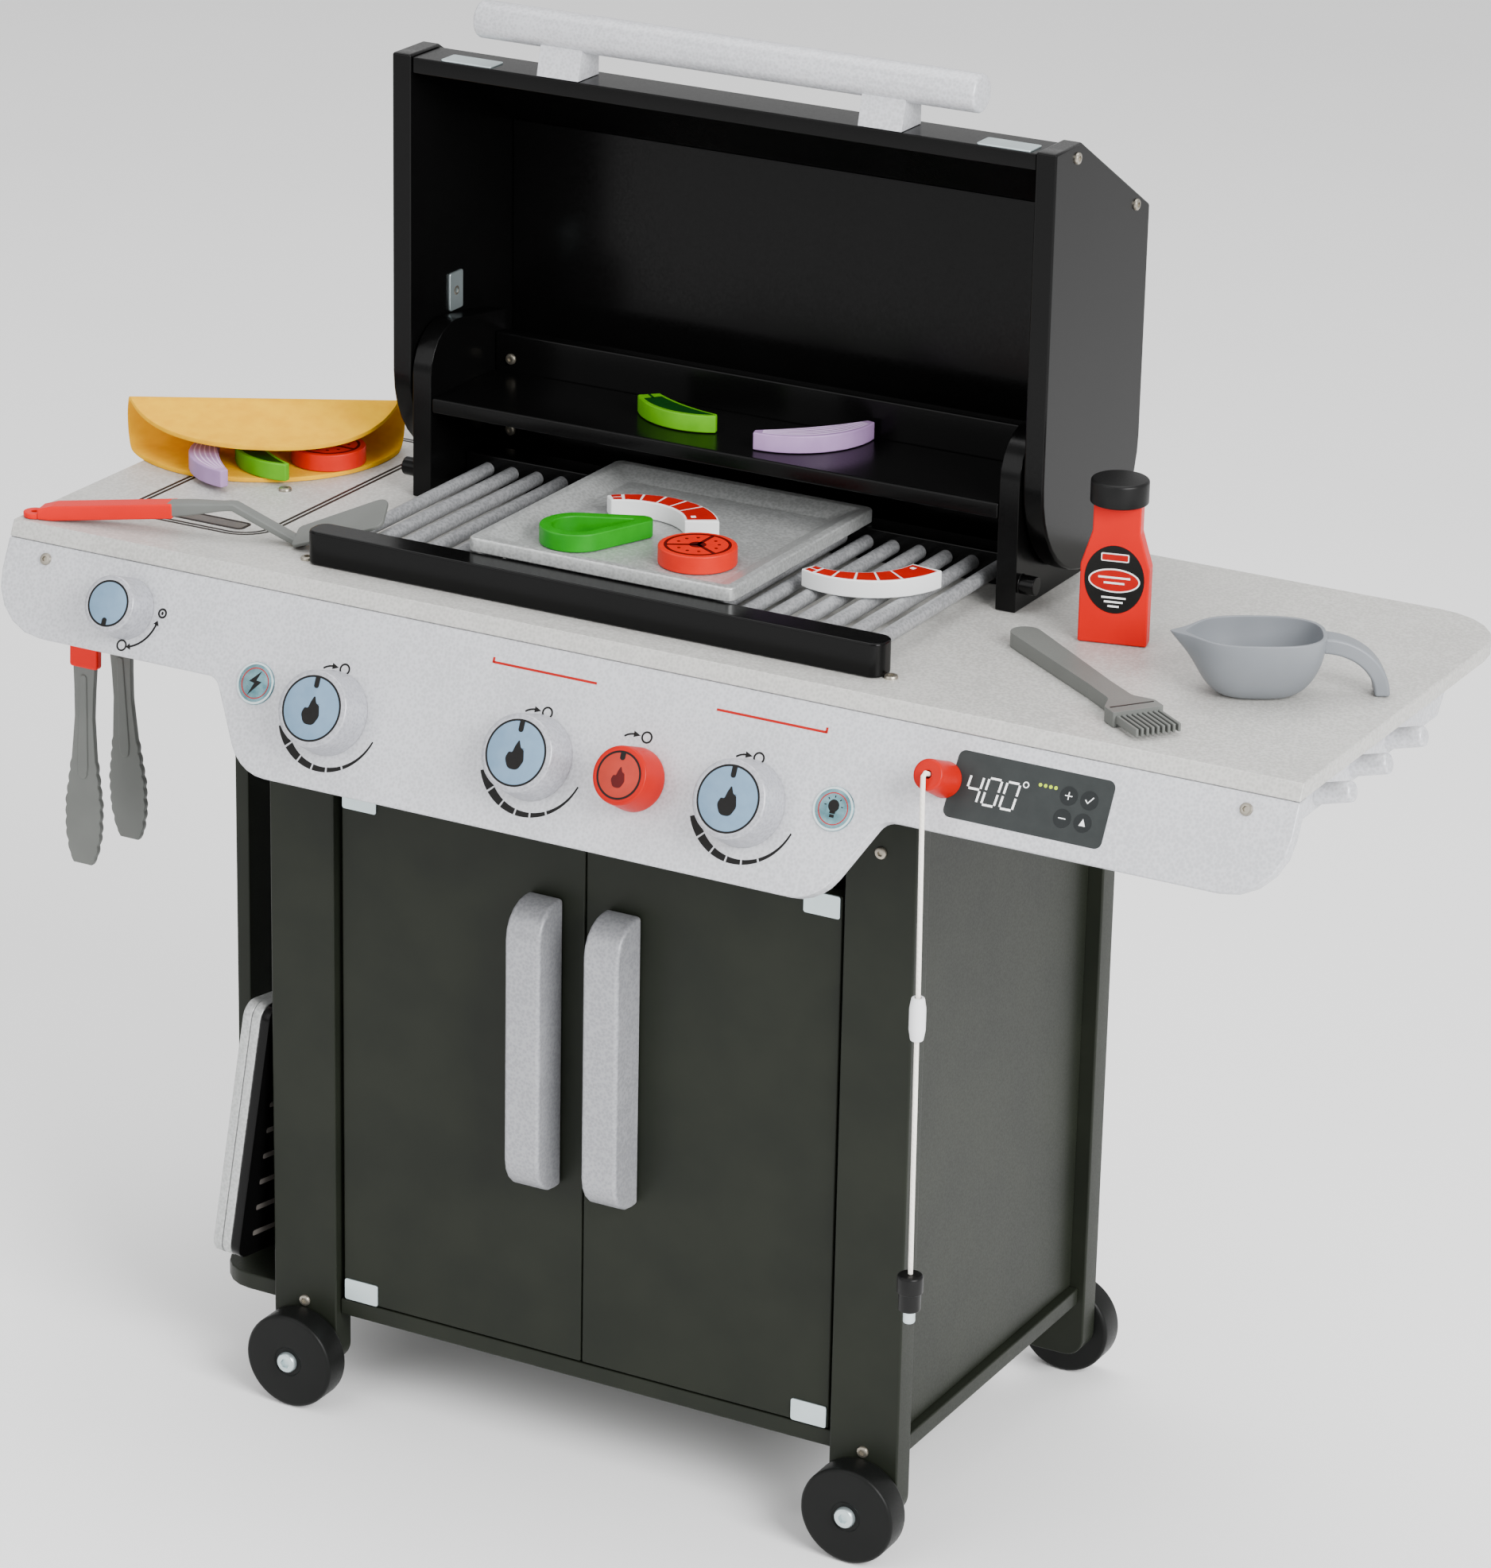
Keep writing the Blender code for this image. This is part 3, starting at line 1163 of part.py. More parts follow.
def make_bottle(root, red):
    """A flat bottle cut from board with a round cap on its neck."""
    half, neck = BOTTLE_WIDTH / 2, BOTTLE_NECK_WIDTH / 2
    ease = (BOTTLE_NECK_START - BOTTLE_SHOULDER) / 2
    right = [
        (half, 0.0, 0.0), (half, BOTTLE_SHOULDER, ease / 2), (neck, BOTTLE_NECK_START, ease / 2),
        (neck, BOTTLE_HEIGHT, 0.0),
    ]
    corners = right + [(-a, b, radius) for a, b, radius in reversed(right)]
    bm = bmesh.new()
    add_prism(bm, round_corners(corners, 3), -BOTTLE_THICKNESS / 2, BOTTLE_THICKNESS / 2, "Y")
    cap_bottom = BOTTLE_HEIGHT - KNOB_EDGE
    cap_top = cap_bottom + BOTTLE_CAP_HEIGHT
    cap = bmesh.new()
    profile = [
        (0.0, cap_bottom), (BOTTLE_CAP_RADIUS, cap_bottom), (BOTTLE_CAP_RADIUS, cap_top - KNOB_EDGE),
        (BOTTLE_CAP_RADIUS - KNOB_EDGE, cap_top), (0.0, cap_top),
    ]
    add_turned(cap, profile, KNOB_SIDES)
    turn = Matrix.Rotation(BOTTLE_TURN, 4, "Z")
    finish("sauce_bottle", bm, red, root, origin=(BOTTLE_X, BOTTLE_Y, DECK + GAP), turn=turn, fused=cap)


def make_bowl(root, grey):
    """An oval bowl with a pouring lip and a strap handle that curves down to the worktop."""
    side = [(0.0, 0.0), (BOWL_BASE_SHARE, 0.0)]
    side += [(a, b) for a, b in BOWL_SIDE_SHARES] + [(1.0, 1.0)]
    half = BOWL_LENGTH / 2
    floor = BOWL_WALL / BOWL_HEIGHT
    wall = BOWL_WALL / half
    inside = [(a - wall, max(b, floor)) for a, b in reversed(side[1:])] + [(0.0, floor)]
    profile = [(radius * half, height * BOWL_HEIGHT) for radius, height in side + inside]
    bm = bmesh.new()
    verts = add_turned(bm, profile, BOWL_SIDES)
    for vert in verts:
        ahead = max(0.0, -vert.co.x / half)
        height = (vert.co.z / BOWL_HEIGHT) ** 2
        lip = ahead ** 8 * height
        narrow = 1 - BOWL_LIP_NARROW_SHARE * ahead ** 6 * height
        vert.co.x -= BOWL_LIP * lip
        vert.co.y *= BOWL_WIDTH / BOWL_LENGTH * narrow
    start = half - BOWL_WALL
    outer, inner = [], []
    steps = 9
    reach = BOWL_HANDLE_REACH
    rise = BOWL_HEIGHT - BOWL_HANDLE_THICKNESS / 4
    for step in range(steps + 1):
        angle = math.pi / 2 * (1 - step / steps)
        outer.append(Vector((start + reach * math.cos(angle), rise * math.sin(angle))))
        inner.append(Vector((
            start + (reach - BOWL_HANDLE_THICKNESS) * math.cos(angle),
            (rise - BOWL_HANDLE_THICKNESS) * math.sin(angle),
        )))
    handle = bmesh.new()
    add_prism(handle, outer + inner[::-1], -BOWL_HANDLE_WIDTH / 2, BOWL_HANDLE_WIDTH / 2, "Y")
    turn = Matrix.Rotation(BOWL_TURN, 4, "Z")
    finish("sauce_bowl", bm, grey, root, origin=(BOWL_X, BOWL_Y, DECK + GAP), turn=turn, fused=handle)


def make_brush(root, grey):
    """A flat brush: rounded handle, flared head and a row of soft fingers."""
    handle, head = BRUSH_HANDLE_WIDTH / 2, BRUSH_HEAD_WIDTH / 2
    neck = BRUSH_HANDLE_LENGTH
    waist = neck * BRUSH_WAIST_PLACE_SHARE
    butt = handle * BRUSH_BUTT_SHARE
    end = neck + BRUSH_HEAD_LENGTH
    corners = [
        (0.0, -handle, butt), (waist, -handle * BRUSH_WAIST_SHARE, 0.0),
        (neck, -handle * BRUSH_NECK_SHARE, 0.0),
        (end - BRUSH_HEAD_LENGTH / 2, -head, handle / 2), (end, -head, 0.0),
        (end, head, 0.0), (end - BRUSH_HEAD_LENGTH / 2, head, handle / 2),
        (neck, handle * BRUSH_NECK_SHARE, 0.0), (waist, handle * BRUSH_WAIST_SHARE, 0.0),
        (0.0, handle, butt),
    ]
    bm = bmesh.new()
    add_prism(bm, round_corners(corners), 0.0, BRUSH_THICKNESS)
    spread = head - BRUSH_FINGER_WIDTH
    low = (BRUSH_THICKNESS - BRUSH_FINGER_HEIGHT) / 2
    fingers = bmesh.new()
    for index in range(BRUSH_FINGERS):
        y = -spread - BRUSH_FINGER_WIDTH / 2 + 2 * spread * index / (BRUSH_FINGERS - 1)
        add_box(
            fingers, (end - BRUSH_FINGER_GRIP, y, low),
            (end + BRUSH_FINGER_LENGTH, y + BRUSH_FINGER_WIDTH, low + BRUSH_FINGER_HEIGHT),
        )
    turn = Matrix.Rotation(BRUSH_TURN, 4, "Z")
    finish("basting_brush", bm, grey, root, origin=(BRUSH_X, BRUSH_Y, DECK + GAP), turn=turn, fused=fingers)


def make_spatula(root, red):
    """A spatula on its heel and its loop: grip, bent neck and a blade that rises to the front bar."""
    tail = -SPATULA_LENGTH
    thick = SPATULA_GRIP_HEIGHT
    ring = SPATULA_LOOP_RADIUS
    grip_start = tail + ring * 2 - SPATULA_LAP
    grip_end = grip_start + SPATULA_GRIP
    under = SPATULA_GRIP_TOP - thick / 2
    over = under + thick
    grip = [
        (grip_start, 0.0), (grip_start + thick, 0.0), (grip_end, under), (grip_end, over),
        (grip_start + thick, thick), (grip_start, thick * SPATULA_TAIL_SHARE),
    ]
    fused = bmesh.new()
    add_prism(fused, grip, -SPATULA_GRIP_WIDTH / 2, SPATULA_GRIP_WIDTH / 2, "Y")
    heel, tip = SPATULA_BLADE_HEEL / 2, SPATULA_BLADE_WIDTH / 2
    length = SPATULA_BLADE_LENGTH
    corners = [
        (0.0, -heel, heel / 3), (length, -tip, tip / 3), (length * SPATULA_SLANT_SHARE, tip, tip / 2),
        (0.0, heel, heel / 3),
    ]
    lift = Matrix.Rotation(-SPATULA_BLADE_PITCH, 4, "Y")
    add_prism(fused, round_corners(corners), 0.0, SPATULA_BLADE_THICKNESS, "Z", lift)

    bm = bmesh.new()
    rise = thick * SPATULA_TAIL_SHARE
    profile = [(SPATULA_LOOP_BORE, 0.0), (ring, 0.0), (ring, rise / 2), (SPATULA_LOOP_BORE, rise / 2)]
    add_turned(bm, profile, PEG_SIDES, Matrix.Translation((tail + ring, 0.0, 0.0)))
    neck = SPATULA_NECK_HEIGHT
    path = [
        Vector((grip_end - SPATULA_LAP, SPATULA_GRIP_TOP + neck / 2)),
        Vector((-SPATULA_NECK_RUN, SPATULA_NECK_TOP + neck)), Vector((0.0, neck)),
    ]
    low = offset_path(path, neck)
    foot = Vector((-neck, 0.0))
    outline = path + [Vector((neck, neck)), Vector((neck, SPATULA_BLADE_THICKNESS)), foot, low[1], low[0]]
    add_prism(bm, outline, -SPATULA_NECK_WIDTH / 2, SPATULA_NECK_WIDTH / 2, "Y")
    turn = Matrix.Rotation(SPATULA_TURN, 4, "Z")
    finish("spatula", bm, red, root, origin=(SPATULA_X, SPATULA_Y, DECK + GAP), turn=turn, fused=fused)


def make_tongs(root, grey):
    """Tongs that hang from the middle left hook: a bow with a grip and an arm down each side."""
    bm = bmesh.new()
    hook_y = HOOK_FIRST_Y + HOOK_PITCH
    outer = TONGS_BOW_RADIUS + TONGS_BOW_THICKNESS
    centre_z = TONGS_TOP_Z - TONGS_BOW_RADIUS
    arc = [math.pi * step / 12 for step in range(13)]
    bow = [Vector((hook_y + outer * math.cos(a), centre_z + outer * math.sin(a))) for a in arc]
    bow += [
        Vector((hook_y + TONGS_BOW_RADIUS * math.cos(a), centre_z + TONGS_BOW_RADIUS * math.sin(a)))
        for a in reversed(arc)
    ]
    add_prism(bm, bow, TONGS_X - TONGS_BOW_WIDTH / 2, TONGS_X + TONGS_BOW_WIDTH / 2, "X")
    grip, head, neck, tip = (
        width / 2 for width in (TONGS_GRIP_WIDTH, TONGS_ARM_HEAD, TONGS_ARM_NECK, TONGS_ARM_TIP)
    )
    grip_end = -TONGS_GRIP_LENGTH
    arm_end = grip_end - TONGS_ARM_LENGTH
    side = [
        (TONGS_BOW_WIDTH / 2, 0.0), (grip, grip_end * TONGS_GRIP_SHOULDER_SHARE), (grip, grip_end),
        (neck, grip_end - TONGS_ARM_LENGTH * TONGS_NECK_START_SHARE),
        (neck, grip_end - TONGS_ARM_LENGTH * TONGS_NECK_END_SHARE),
        (head, grip_end - TONGS_ARM_LENGTH * TONGS_HEAD_START_SHARE),
        (head, grip_end - TONGS_ARM_LENGTH * TONGS_HEAD_END_SHARE), (tip, arm_end),
    ]
    outline = [Vector(point) for point in side] + [Vector((-a, b)) for a, b in reversed(side)]
    arms = bmesh.new()
    for sign in (-1, 1):
        y = hook_y + sign * (TONGS_BOW_RADIUS + TONGS_BOW_THICKNESS / 2)
        top = Vector((TONGS_X, y, centre_z + TONGS_BOW_THICKNESS))
        matrix = Matrix.Translation(top) @ Matrix.Rotation(sign * TONGS_SPREAD, 4, "X")
        add_prism(arms, outline, -TONGS_ARM_THICKNESS / 2, TONGS_ARM_THICKNESS / 2, "Y", matrix)
    finish("tongs", bm, grey, root, origin=(TONGS_X, hook_y, centre_z), fused=arms)


def stand_on_origin(root):
    """Moves the root so that the object stands on Z = 0, its box's middle over the origin."""
    graph = bpy.context.evaluated_depsgraph_get()
    graph.update()
    corners = []
    for obj in bpy.context.scene.objects:
        if obj.type == "MESH" and not obj.hide_render and obj.name not in ("cord_bead", "probe"):
            evaluated = obj.evaluated_get(graph)
            corners += [evaluated.matrix_world @ vert.co for vert in evaluated.data.vertices]
    low = [min(corner[axis] for corner in corners) for axis in range(3)]
    high = [max(corner[axis] for corner in corners) for axis in range(3)]
    root.location = (-(low[0] + high[0]) / 2, -(low[1] + high[1]) / 2, -low[2])


def main():
    """Builds the whole toy."""
    clear_scene()
    root = bpy.data.objects.new("grill_frame", None)
    bpy.context.scene.collection.objects.link(root)
    black = material("black_paint", (0.012, 0.012, 0.013), 0.35)
    dark = material("dark_paint", (0.045, 0.046, 0.042), 0.55)
    silver = material("silver_paint", (0.58, 0.58, 0.59), 0.42, 0.3)
    grey = material("grey_plastic", (0.30, 0.31, 0.32), 0.45)
    red = material("red_plastic", (0.72, 0.03, 0.02), 0.35)
    white = material("white_cord", (0.85, 0.83, 0.76), 0.9)
    bead_white = material("white_plastic", (0.88, 0.88, 0.86), 0.4)
    felt = material("orange_felt", (0.86, 0.36, 0.03), 0.95)
    foods = {
        "white": material("white_food", (0.85, 0.85, 0.84), 0.4),
        "green": material("green_food", (0.30, 0.60, 0.05), 0.4),
        "red": material("red_food", (0.80, 0.08, 0.05), 0.4),
    }

    make_worktop(root, silver)
    make_control_panel(root, silver)
    make_knobs(root, silver, red)
    make_probe_holder(root, red)
    make_posts(root, dark)
    make_base(root, dark)
    make_cabinet_walls(root, dark)
    make_doors(root, dark, silver)
    make_wheels(root, black)
    make_hook_rails(root, silver)
    make_grate(root, black)
    make_firebox(root, black)
    make_lid(root, black, silver)
    make_probe(root, white, bead_white, black)
    make_tray(root, silver)
    make_plates(root, black)
    outlines = make_food(root, foods)
    make_tortilla(root, felt, foods, outlines)
    make_bottle(root, red)
    make_bowl(root, grey)
    make_brush(root, grey)
    make_spatula(root, red)
    make_tongs(root, grey)
    stand_on_origin(root)


main()
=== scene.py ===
"""Looks of a painted wooden toy barbecue grill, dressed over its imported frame.

Sizes are in millimetres in the design frame: X along the worktop from its middle, Y to the back
from the seam over the control panel, Z up from the worktop's underside. A Station turns them into
metres in the row frame.
"""

import json
import logging
import math
from dataclasses import dataclass
from enum import Enum

import bmesh
import bpy
import numpy as np
from mathutils import Matrix, Vector


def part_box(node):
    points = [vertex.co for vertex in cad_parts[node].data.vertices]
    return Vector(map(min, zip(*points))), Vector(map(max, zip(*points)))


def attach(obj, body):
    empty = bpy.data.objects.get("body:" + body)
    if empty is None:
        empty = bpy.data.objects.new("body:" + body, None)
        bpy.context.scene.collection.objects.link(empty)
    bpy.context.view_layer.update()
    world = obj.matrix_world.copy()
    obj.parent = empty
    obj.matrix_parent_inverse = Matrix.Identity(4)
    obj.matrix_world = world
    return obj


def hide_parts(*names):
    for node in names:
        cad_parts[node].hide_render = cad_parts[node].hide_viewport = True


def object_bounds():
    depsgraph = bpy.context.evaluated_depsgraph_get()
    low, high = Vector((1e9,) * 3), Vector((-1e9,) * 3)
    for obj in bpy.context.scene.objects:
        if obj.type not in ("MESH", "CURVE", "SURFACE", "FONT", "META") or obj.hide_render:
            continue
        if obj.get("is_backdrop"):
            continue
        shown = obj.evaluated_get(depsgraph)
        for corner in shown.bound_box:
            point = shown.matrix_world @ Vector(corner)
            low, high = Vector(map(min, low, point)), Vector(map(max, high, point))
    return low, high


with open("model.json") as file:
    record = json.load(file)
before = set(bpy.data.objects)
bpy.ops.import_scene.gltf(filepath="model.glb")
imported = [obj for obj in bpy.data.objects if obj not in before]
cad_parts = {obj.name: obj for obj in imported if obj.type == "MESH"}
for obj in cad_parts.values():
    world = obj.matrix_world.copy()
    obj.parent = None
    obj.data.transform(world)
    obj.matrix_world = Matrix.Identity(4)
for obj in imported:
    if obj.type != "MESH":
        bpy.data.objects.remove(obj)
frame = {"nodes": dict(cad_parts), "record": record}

LOG = logging.getLogger("toy_grill")
MM = 0.001
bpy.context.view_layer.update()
WORKTOP_LOW, WORKTOP_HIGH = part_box("worktop")
SHIFT = np.array([WORKTOP_LOW[0] + 0.390, WORKTOP_HIGH[1] - 0.287, WORKTOP_HIGH[2] - 0.009])
# Middle of the grill's head and cabinet, and top face of the worktop
HEAD_X = -34.6
DECK = 9.0
PANEL_TILT = math.radians(25)
CREASE = math.radians(35)
# A layer of ink stands this far out of the face below it, and starts this far under it
PRINT_RISE = 0.12
PRINT_SINK = 0.15
# Clear space under things that are laid down
AIR = 0.3
MERGE = 1e-6
SIDES = ((-1, "left"), (1, "right"))

Array = np.ndarray
Skin = tuple[Array, list]
Triple = tuple[float, float, float]


def linear(code: str) -> tuple[float, ...]:
    """Turns an sRGB hex colour into linear RGBA.

    Args:
        code: six hex digits.
    Returns:
        Four numbers, the last one 1.
    """
    channel = np.array([int(code[index:index + 2], 16) for index in (0, 2, 4)]) / 255
    value = np.where(channel <= 0.04045, channel / 12.92, ((channel + 0.055) / 1.055) ** 2.4)
    return (*value.tolist(), 1.0)


def add_node(tree: bpy.types.NodeTree, kind: str, inputs: dict | None = None, **settings) -> bpy.types.Node:
    """Adds a shader node with its settings, values and links.

    Args:
        tree: the material's node tree.
        kind: the node's type name.
        inputs: a value, or an output to link from, for each input's name.
        settings: the node's own settings.
    Returns:
        The new node.
    """
    node = tree.nodes.new(kind)
    for key, value in settings.items():
        setattr(node, key, value)
    for socket, value in (inputs or {}).items():
        if isinstance(value, bpy.types.NodeSocket):
            tree.links.new(value, node.inputs[socket])
        else:
            node.inputs[socket].default_value = value
    return node


@dataclass(frozen=True)
class Finish:
    """A surface finish: two close tones in soft clouds and a fine relief.

    The base class is sprayed satin paint on board: an even coat with a slight orange peel.
    """

    name: str
    slot: str
    colour: str
    shade: str
    roughness: float = 0.45
    metallic: float = 0.0
    cloud_mm: float = 40.0
    grain_mm: float = 1.2
    relief_mm: float = 0.03
    sway: float = 0.05
    specular: float = 0.4
    speckle: float = 0.0

    def height(self, tree: bpy.types.NodeTree, coords: bpy.types.NodeSocket) -> bpy.types.NodeSocket:
        """Height of the relief, round bumps grain_mm apart.

        Args:
            tree: the material's node tree.
            coords: Object coordinates.
        Returns:
            The socket that gives the height.
        """
        made = add_node(tree, "ShaderNodeTexNoise", {
            "Vector": coords, "Scale": 1 / (self.grain_mm * MM), "Detail": 2.0, "Roughness": 0.5,
        })
        return made.outputs["Fac"]

    def material(self) -> bpy.types.Material:
        """The finish as a material, made once.

        Returns:
            A Principled material that reads Object coordinates.
        """
        made = bpy.data.materials.get(self.name)
        if made is not None:
            return made
        made = bpy.data.materials.new(self.name)
        made.use_nodes = True
        tree = made.node_tree
        shader = tree.nodes["Principled BSDF"]
        coords = add_node(tree, "ShaderNodeTexCoord").outputs["Object"]
        clouds = add_node(tree, "ShaderNodeTexNoise", {
            "Vector": coords, "Scale": 1 / (self.cloud_mm * MM), "Detail": 3.0,
        })
        height = self.height(tree, coords)
        blend = clouds.outputs["Fac"]
        if self.speckle > 0.0:
            mixed = add_node(tree, "ShaderNodeMix", {0: self.speckle, 2: blend, 3: height}, data_type="FLOAT")
            blend = mixed.outputs[0]
        tone = add_node(tree, "ShaderNodeValToRGB", {"Fac": blend})
        low, high = tone.color_ramp.elements
        low.position, low.color = 0.35, linear(self.shade)
        high.position, high.color = 0.65, linear(self.colour)
        tree.links.new(tone.outputs["Color"], shader.inputs["Base Color"])
        bump = add_node(tree, "ShaderNodeBump", {
            "Height": height, "Strength": 0.6, "Distance": self.relief_mm * MM,
        })
        tree.links.new(bump.outputs["Normal"], shader.inputs["Normal"])
        gloss = add_node(tree, "ShaderNodeMapRange", {
            "Value": height, "From Min": 0.3, "From Max": 0.7,
            "To Min": self.roughness - self.sway, "To Max": self.roughness + self.sway,
        })
        tree.links.new(gloss.outputs["Result"], shader.inputs["Roughness"])
        shader.inputs["Metallic"].default_value = self.metallic
        shader.inputs["Specular IOR Level"].default_value = self.specular
        made.diffuse_color = linear(self.colour)
        return made


@dataclass(frozen=True)
class PrintedInk(Finish):
    """Screen-printed ink: thin and flat, its tone changing over a few millimetres."""

    cloud_mm: float = 8.0


@dataclass(frozen=True)
class FoodPaint(Finish):
    """Paint of the play food: even, slightly glossy."""

    roughness: float = 0.42
    cloud_mm: float = 12.0
    specular: float = 0.2


@dataclass(frozen=True)
class MouldedPlastic(Finish):
    """Moulded plastic: fine even grain from the mould."""

    roughness: float = 0.4
    grain_mm: float = 0.6
    relief_mm: float = 0.02


@dataclass(frozen=True)
class MetallicPaint(Finish):
    """Silver lacquer with aluminium flakes that tilt the gloss and speckle the tone a little.

    Real flakes are far finer; they are drawn as coarse as the render needs to show them.
    """

    grain_mm: float = 1.8
    relief_mm: float = 0.03
    speckle: float = 0.65

    def height(self, tree: bpy.types.NodeTree, coords: bpy.types.NodeSocket) -> bpy.types.NodeSocket:
        """Height of the relief, flat flakes of random level grain_mm across.

        Args:
            tree: the material's node tree.
            coords: Object coordinates.
        Returns:
            The socket that gives the height.
        """
        made = add_node(tree, "ShaderNodeTexVoronoi", {
            "Vector": coords, "Scale": 1 / (self.grain_mm * MM), "Randomness": 1.0,
        })
        return made.outputs["Distance"]


@dataclass(frozen=True)
class BrushedMetal(Finish):
    """Zinc-plated steel: short scratches along one direction stretch the highlights."""

    grain_mm: float = 0.25

    def height(self, tree: bpy.types.NodeTree, coords: bpy.types.NodeSocket) -> bpy.types.NodeSocket:
        """Height of the relief, scratches grain_mm apart and many times as long.

        Args:
            tree: the material's node tree.
            coords: Object coordinates.
        Returns:
            The socket that gives the height.
        """
        stretched = add_node(tree, "ShaderNodeMapping", {"Vector": coords, "Scale": (0.08, 1.0, 1.0)})
        made = add_node(tree, "ShaderNodeTexNoise", {
            "Vector": stretched.outputs["Vector"], "Scale": 1 / (self.grain_mm * MM), "Detail": 1.0,
        })
        return made.outputs["Fac"]


@dataclass(frozen=True)
class WoolFelt(Finish):
    """Pressed felt: matted fibres in all directions and a soft nap."""

    def height(self, tree: bpy.types.NodeTree, coords: bpy.types.NodeSocket) -> bpy.types.NodeSocket:
        """Height of the relief, a distorted noise that draws fibres about grain_mm apart.

        Args:
            tree: the material's node tree.
            coords: Object coordinates.
        Returns:
            The socket that gives the height.
        """
        made = add_node(tree, "ShaderNodeTexNoise", {
            "Vector": coords, "Scale": 1 / (self.grain_mm * MM), "Detail": 6.0, "Distortion": 2.5,
        })
        return made.outputs["Fac"]


@dataclass(frozen=True)
class TwistedCord(Finish):
    """Cotton cord: slanted strands that wind round it."""

    def height(self, tree: bpy.types.NodeTree, coords: bpy.types.NodeSocket) -> bpy.types.NodeSocket:
        """Height of the relief, diagonal waves grain_mm apart.

        Args:
            tree: the material's node tree.
            coords: Object coordinates.
        Returns:
            The socket that gives the height.
        """
        made = add_node(tree, "ShaderNodeTexWave", {
            "Vector": coords, "Scale": 0.3 / (self.grain_mm * MM), "Distortion": 0.4,
        }, bands_direction="DIAGONAL")
        return made.outputs["Fac"]


# Satin acrylic paint on board: charcoal with a touch of green, soft broad highlights
CHARCOAL = Finish(
    "charcoal_satin_paint", "dark_paint", "1f221b", "1b1e18", 0.42, relief_mm=0.012, specular=0.14,
)
# The same paint in black, smoother, so that it mirrors its surroundings faintly
BLACK = Finish("black_satin_paint", "black_paint", "070707", "060606", 0.22, relief_mm=0.008, specular=0.13)
# Black painted wheels, satin
WHEEL_BLACK = Finish("wheel_black_paint", "wheel_black", "111211", "0e0f0e", 0.42, specular=0.15)
# Red lacquer: even, fairly glossy
RED = Finish("red_gloss_lacquer", "red_paint", "b20900", "a80800", 0.36, specular=0.15)
# The bottle's deeper red
BOTTLE_RED = Finish("bottle_red_lacquer", "red_paint", "cc0300", "c20200", 0.36, specular=0.15)
# Silver lacquer: light grey with a metallic gleam
SILVER = MetallicPaint("silver_flake_lacquer", "silver_paint", "c6c7cb", "b4b5b9", 0.42, 0.25)
# The same lacquer on the worktop, a little warmer
WORKTOP_SILVER = MetallicPaint("worktop_silver_lacquer", "silver_paint", "bfbeba", "aeada9", 0.45, 0.2)
# Darker silver of tray and stored plates
TRAY_SILVER = MetallicPaint("tray_silver_lacquer", "silver_paint", "b9bbba", "a4a6a5", 0.36, 0.45)
# Grey silver of the grate's rods
ROD_SILVER = MetallicPaint("rod_silver_lacquer", "black_paint", "98999b", "808183", 0.42, 0.25)
# Silver of the knobs, darker than the panel behind them
KNOB_SILVER = MetallicPaint("knob_silver_lacquer", "knob_paint", "adaeb4", "9b9ca2", 0.36, 0.3)
# Silver lacquer of the doors' handles, darker grey than on the lid's handle: painted shade of their dimmer
# front faces
SHADED_HANDLE_SILVER = MetallicPaint("shaded_handle_silver_lacquer", "silver_paint", "9fa0a4", "8e8f93", 0.42, 0.25)
# Mid grey of the sauce bowl
GREY_PLASTIC = MouldedPlastic("grey_moulded_plastic", "grey_plastic", "777b80", "71757a")
# Darker grey of the tools
TOOL_GREY = MouldedPlastic("tool_grey_plastic", "grey_plastic", "676966", "616360", specular=0.2)
# Red grips
RED_PLASTIC = MouldedPlastic("red_moulded_plastic", "grey_plastic", "d80700", "ce0500", 0.36, specular=0.15)
# White bead, a little glossier
WHITE_PLASTIC = MouldedPlastic(
    "white_moulded_plastic", "white_plastic", "e6e7e8", "dfe0e2", 0.35, relief_mm=0.03,
)
# Black cap and probe
BLACK_PLASTIC = MouldedPlastic(
    "black_moulded_plastic", "black_paint", "0d0d0d", "0a0a0a", relief_mm=0.03, specular=0.2,
)
# Zinc-plated steel of bolts and plates, pale and slightly blue
ZINC = BrushedMetal("zinc_plated_steel", "silver_paint", "cbd8da", "bccacc", 0.34, 0.85, relief_mm=0.01)
# Duller screws with a brownish cast
SCREW_STEEL = BrushedMetal("screw_steel", "silver_paint", "a8a296", "8d877a", 0.36, 0.9, relief_mm=0.01)
# Blue steel of the round buttons
BUTTON_STEEL = BrushedMetal(
    "button_steel", "knob_paint", "7599a1", "4b6f77", 0.3, 0.8, cloud_mm=9.0, relief_mm=0.01,
)
# Yellow felt: warm, with a soft nap
FELT = WoolFelt(
    "yellow_wool_felt", "felt", "f0b400", "e8a800", 0.95, cloud_mm=9.0, grain_mm=0.7, relief_mm=0.25,
    specular=0.1,
)
# White cotton cord
CORD = TwistedCord(
    "white_cotton_cord", "cord_white", "f6f2ea", "e9e4db", 0.85, grain_mm=1.6, relief_mm=0.25, specular=0.1,
)
# Shrimp: smooth white paint
SHRIMP_WHITE = Finish("shrimp_white_paint", "food_white", "e4e6e6", "dee0e0", 0.4)
# Onion: lilac
ONION_LILAC = FoodPaint("onion_lilac_paint", "food_white", "a685b3", "9e7dab", specular=0.4)
# Pepper: strong green
PEPPER_GREEN = FoodPaint("pepper_green_paint", "food_green", "12890f", "0f7f0d")
# Chili: lime green
CHILI_GREEN = FoodPaint("chili_green_paint", "food_green", "5aa507", "529b06")
# Tomato: orange red
TOMATO_RED = FoodPaint("tomato_red_paint", "food_red", "d01a02", "c61602", 0.4)
# Matt black of scales, pointers and signs
BLACK_INK = PrintedInk("black_print", "silver_paint", "100f0e", "0d0c0b", 0.5, specular=0.2)
# Brown black of the hob lines
BROWN_INK = PrintedInk("brown_print", "silver_paint", "160f0c", "130d0a", 0.5, specular=0.2)
